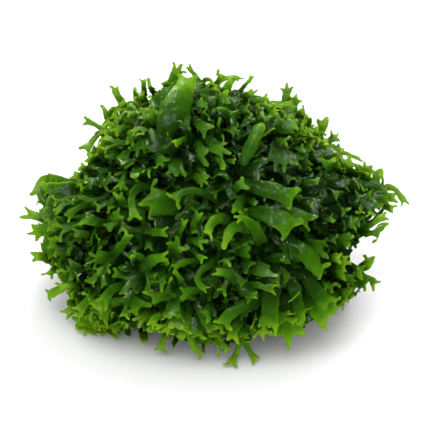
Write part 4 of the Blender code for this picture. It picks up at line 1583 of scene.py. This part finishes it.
def pale_floor():
    bpy.ops.mesh.primitive_plane_add(size=FLOOR_SIZE, location=(0, 0, 0))
    floor = bpy.context.object
    floor.name = "floor"
    material = bpy.data.materials.new("pale_floor")
    material.use_nodes = True
    shader = material.node_tree.nodes["Principled BSDF"]
    shader.inputs["Base Color"].default_value = (FLOOR_GREY, FLOOR_GREY, FLOOR_GREY, 1.0)
    shader.inputs["Roughness"].default_value = FLOOR_ROUGHNESS
    floor.data.materials.append(material)
    floor.visible_glossy = False


def look_along(obj, direction):
    """Turn a light or a camera so that it looks along a direction."""
    obj.rotation_euler = direction.to_track_quat("-Z", "Y").to_euler()


def soft_light(name, direction, size, power, mirrored=False):
    """A round light that either lights the tissue or is only mirrored by it."""
    light = bpy.data.lights.new(name, "AREA")
    light.shape = "DISK"
    light.size = size
    light.energy = power
    obj = linked(name, light)
    towards = Vector(direction).normalized()
    obj.location = HEART + towards * LIGHT_DISTANCE
    look_along(obj, -towards)
    obj.visible_glossy = mirrored
    obj.visible_diffuse = not mirrored


def pale_surroundings():
    """White light from all round, which wet tissue hardly mirrors."""
    world = bpy.data.worlds.new("studio")
    world.use_nodes = True
    tree = world.node_tree
    glossy = tree.nodes.new("ShaderNodeLightPath").outputs["Is Glossy Ray"]
    strength = maths(tree, "MULTIPLY_ADD", glossy, MIRROR_LOSS, 1.0)
    tree.links.new(strength, tree.nodes["Background"].inputs["Strength"])
    tree.nodes["Background"].inputs["Color"].default_value = (1, 1, 1, 1)
    bpy.context.scene.world = world


def studio():
    pale_surroundings()
    bpy.context.scene.view_settings.view_transform = "Standard"
    for name, (direction, power) in LIGHTS.items():
        soft_light(name, direction, LIGHT_SIZE, power)
    for number, direction in enumerate(GLINT_DIRECTIONS):
        soft_light(f"glint_{number}", direction, GLINT_SIZE, GLINT_POWER, mirrored=True)
    pale_floor()


def picture_camera():
    """A long lens at the picture's angle, framed so that a pixel is METRES_PER_PIXEL at the heart."""
    camera = bpy.data.cameras.new("camera")
    camera.sensor_width = SENSOR_WIDTH
    camera.lens = camera.sensor_width * VIEW_DISTANCE / (PICTURE_SIZE * METRES_PER_PIXEL)
    camera.clip_start = CLIP_START
    obj = linked("camera", camera)
    middle = PICTURE_SIZE / 2
    aside = PICTURE_RIGHT * (middle - PICTURE_CENTRE[0]) * METRES_PER_PIXEL
    above = PICTURE_UP * (PICTURE_CENTRE[1] - middle) * METRES_PER_PIXEL
    obj.location = HEART + aside + above + TO_VIEWER * VIEW_DISTANCE
    look_along(obj, -TO_VIEWER)
    bpy.context.scene.camera = obj


picture_camera()
studio()
smooth_tissue = tissue_material("smooth_tissue", SMOOTH_GLOSS)
wet_tissue = tissue_material("wet_tissue", WET_GLOSS)
room = Space(CELL)
mat_piece(wet_tissue)
named_thalli(smooth_tissue, wet_tissue, room)
picture_thalli(smooth_tissue, wet_tissue, room)
grow_filling(wet_tissue, room)
